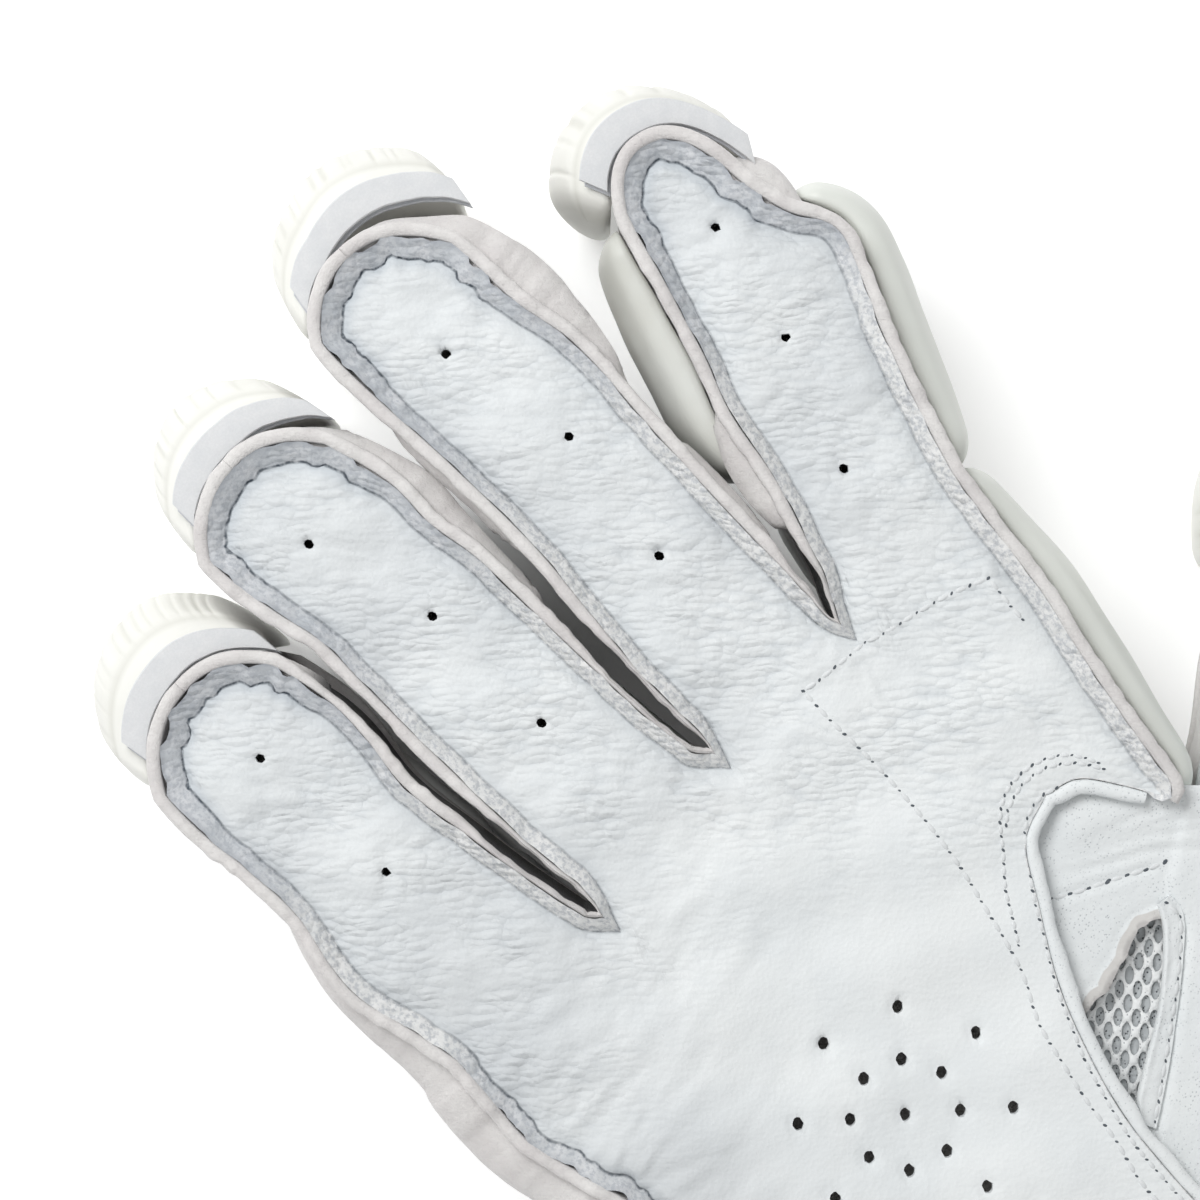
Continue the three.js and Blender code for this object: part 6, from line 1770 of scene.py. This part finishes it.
def build_glove():
    palm = palm_finish()
    cotton = cotton_finish()
    cap_leather = smooth_leather("gathered cap leather", (236, 236, 231), (231, 231, 225), 0.5, 0.4)
    pad_leather = smooth_leather("side pad leather", (228, 231, 225), (222, 225, 219), 0.42, 0.35)
    roll_leather = smooth_leather("back roll leather", (243, 244, 242), (236, 238, 236), 0.45, 0.5)
    strip = suede_finish("cut strip", (222, 223, 224), (214, 216, 218))
    lining = suede_finish("strip lining", (212, 214, 218), (198, 201, 206))
    thumb_leather = thumb_finish()
    # Painted shade: the index's inner pad uses a darker copy of the side pad leather.
    shaded_pad_leather = smooth_leather("inner pad leather in painted shade", (223, 225, 220), (208, 209, 202), 0.42, 0.35)
    rib_knit = rib_finish()
    whole = make_palm(palm)
    make_walls(cotton)
    for k, f in enumerate(FINGERS):
        make_cap(k, cap_leather)
        make_tip_strip(k, LINING, f"{f['name']}_strip_lining", f"{f['name']}_tip_lining", lining,
                       "tip_lining")
        make_tip_strip(k, STRIP, f"{f['name']}_cut_strip", f"{f['name']}_tip_band", strip, "tip_band")
    index_right = np.flatnonzero((seam.finger == 3) & (seam.kind == "right"))
    upper = index_right[seam.share[index_right] <= 10 / 12 + 1e-6]
    make_side_pad("index_side_pad_smooth", "index_side_pad", upper, 5.5, pad_leather)
    hand = np.flatnonzero(seam.kind == "hand_side")
    make_side_pad("hand_side_pad_smooth", "hand_side_pad", hand, 5.0, pad_leather)
    index_left = np.flatnonzero((seam.finger == 3) & (seam.kind == "left"))
    share = seam.share[index_left]
    inner = index_left[(share >= 3 / 12 - 1e-6) & (share <= 0.99)]
    make_side_pad("index_inner_pad_smooth", "index_inner_pad", inner, 6.4, shaded_pad_leather)
    make_rolls(roll_leather)
    thumb = make_thumb(thumb_leather)
    make_knit(*knit_finishes())
    fold = make_fold_strip(thumb_leather)
    make_rim(thumb_leather)
    make_thumb_side(cotton)
    make_thumb_cap(cap_leather)
    make_wristband(rib_knit)
    make_strap("wrist_strap_leather", "wrist_strap", STRAP, 0.38, roll_leather, "palm_leather")
    make_strap("strap_tab_leather", "strap_tab", TAB, 0.30, cap_leather, "cap_leather")
    make_back_sheet(cotton)
    thread = thread_finish()
    shade = shade_finish()
    make_stitches({"palm": whole, "thumb": thumb, "strip": fold}, thread, shade)


build_glove()

# Studio: pale floor, soft light from the fingertip side, camera straight above the palm.
LOOK = np.array([23.0, 78.6, 38.0])
FIELD = 164.4
LENS = 100.0
SENSOR = 36.0
PHOTO_RIGHT = (0.6820, -0.7310, 0)
PHOTO_UP = (0.7310, 0.6820, 0)
FLOOR_SIZE = 6.0
# The floor shines a little, to be as pale as the photo's, but not where the fingers' gaps show it.
FLOOR_GLOW = 0.26
GAP_PLACE = tuple((np.array([5.0, 52.0, 0.0]) + SHIFT) * MM)
GAP_SIZE = (0.040, 0.052, 1.0)
SKY_STRENGTH = 0.48
LIGHTS = [("key softbox", (60, 460, 560), 0.36, 2.9), ("fill softbox", (-420, -120, 520), 0.7, 0.35)]


def make_studio():
    """Floor, soft sky and two soft lamps."""
    floor_finish = Finish("pale floor")
    tone = floor_finish.noise(floor_finish.stretched(0, (90, 90, 90)), 2.0)
    colour = floor_finish.mix(tone, (0.93, 0.93, 0.93, 1), (0.96, 0.96, 0.96, 1))
    floor_finish.done(colour, 0.9, None, Specular_IOR_Level=0.1)
    away = floor_finish.vector("SUBTRACT", floor_finish.place, GAP_PLACE)
    far = floor_finish.vector("LENGTH", floor_finish.vector("DIVIDE", away, GAP_SIZE))
    floor_finish.put(floor_finish.surface.inputs["Emission Strength"],
                     floor_finish.math("MULTIPLY", floor_finish.band(far, 0.9, 1.15), FLOOR_GLOW))
    bpy.ops.object.select_all(action="DESELECT")
    bpy.ops.mesh.primitive_plane_add(size=FLOOR_SIZE, location=(0, 0, 0))
    floor = bpy.context.active_object
    floor.name = "floor"
    floor.data.materials.append(floor_finish.material)
    world = bpy.data.worlds.new("soft studio")
    bpy.context.scene.world = world
    world.use_nodes = True
    sky = world.node_tree.nodes["Background"]
    sky.inputs["Color"].default_value = (1.0, 1.0, 1.0, 1)
    sky.inputs["Strength"].default_value = SKY_STRENGTH
    for name, place, size, power in LIGHTS:
        bpy.ops.object.light_add(type="AREA", location=to_world(place))
        lamp = bpy.context.active_object
        lamp.name = name
        lamp.data.shape = "DISK"
        lamp.data.size = size
        lamp.data.energy = power
        way = to_world(LOOK) - lamp.location
        lamp.rotation_euler = way.to_track_quat("-Z", "Y").to_euler()


def make_camera():
    """Camera straight above the palm, turned as in the photo."""
    lens = bpy.data.cameras.new("camera")
    lens.lens = LENS
    lens.sensor_width = SENSOR
    lens.clip_start = 0.01
    camera = bpy.data.objects.new("camera", lens)
    bpy.context.collection.objects.link(camera)
    away = FIELD * LENS / SENSOR
    right = Vector(PHOTO_RIGHT).normalized()
    up = Vector(PHOTO_UP).normalized()
    turn = Matrix((right, up, Vector((0, 0, 1)))).transposed()
    camera.matrix_world = Matrix.Translation(to_world(LOOK + np.array([0, 0, away]))) @ turn.to_4x4()
    bpy.context.scene.camera = camera


make_studio()
make_camera()
bpy.context.scene.view_settings.view_transform = "Standard"
bpy.context.scene.view_settings.look = "None"
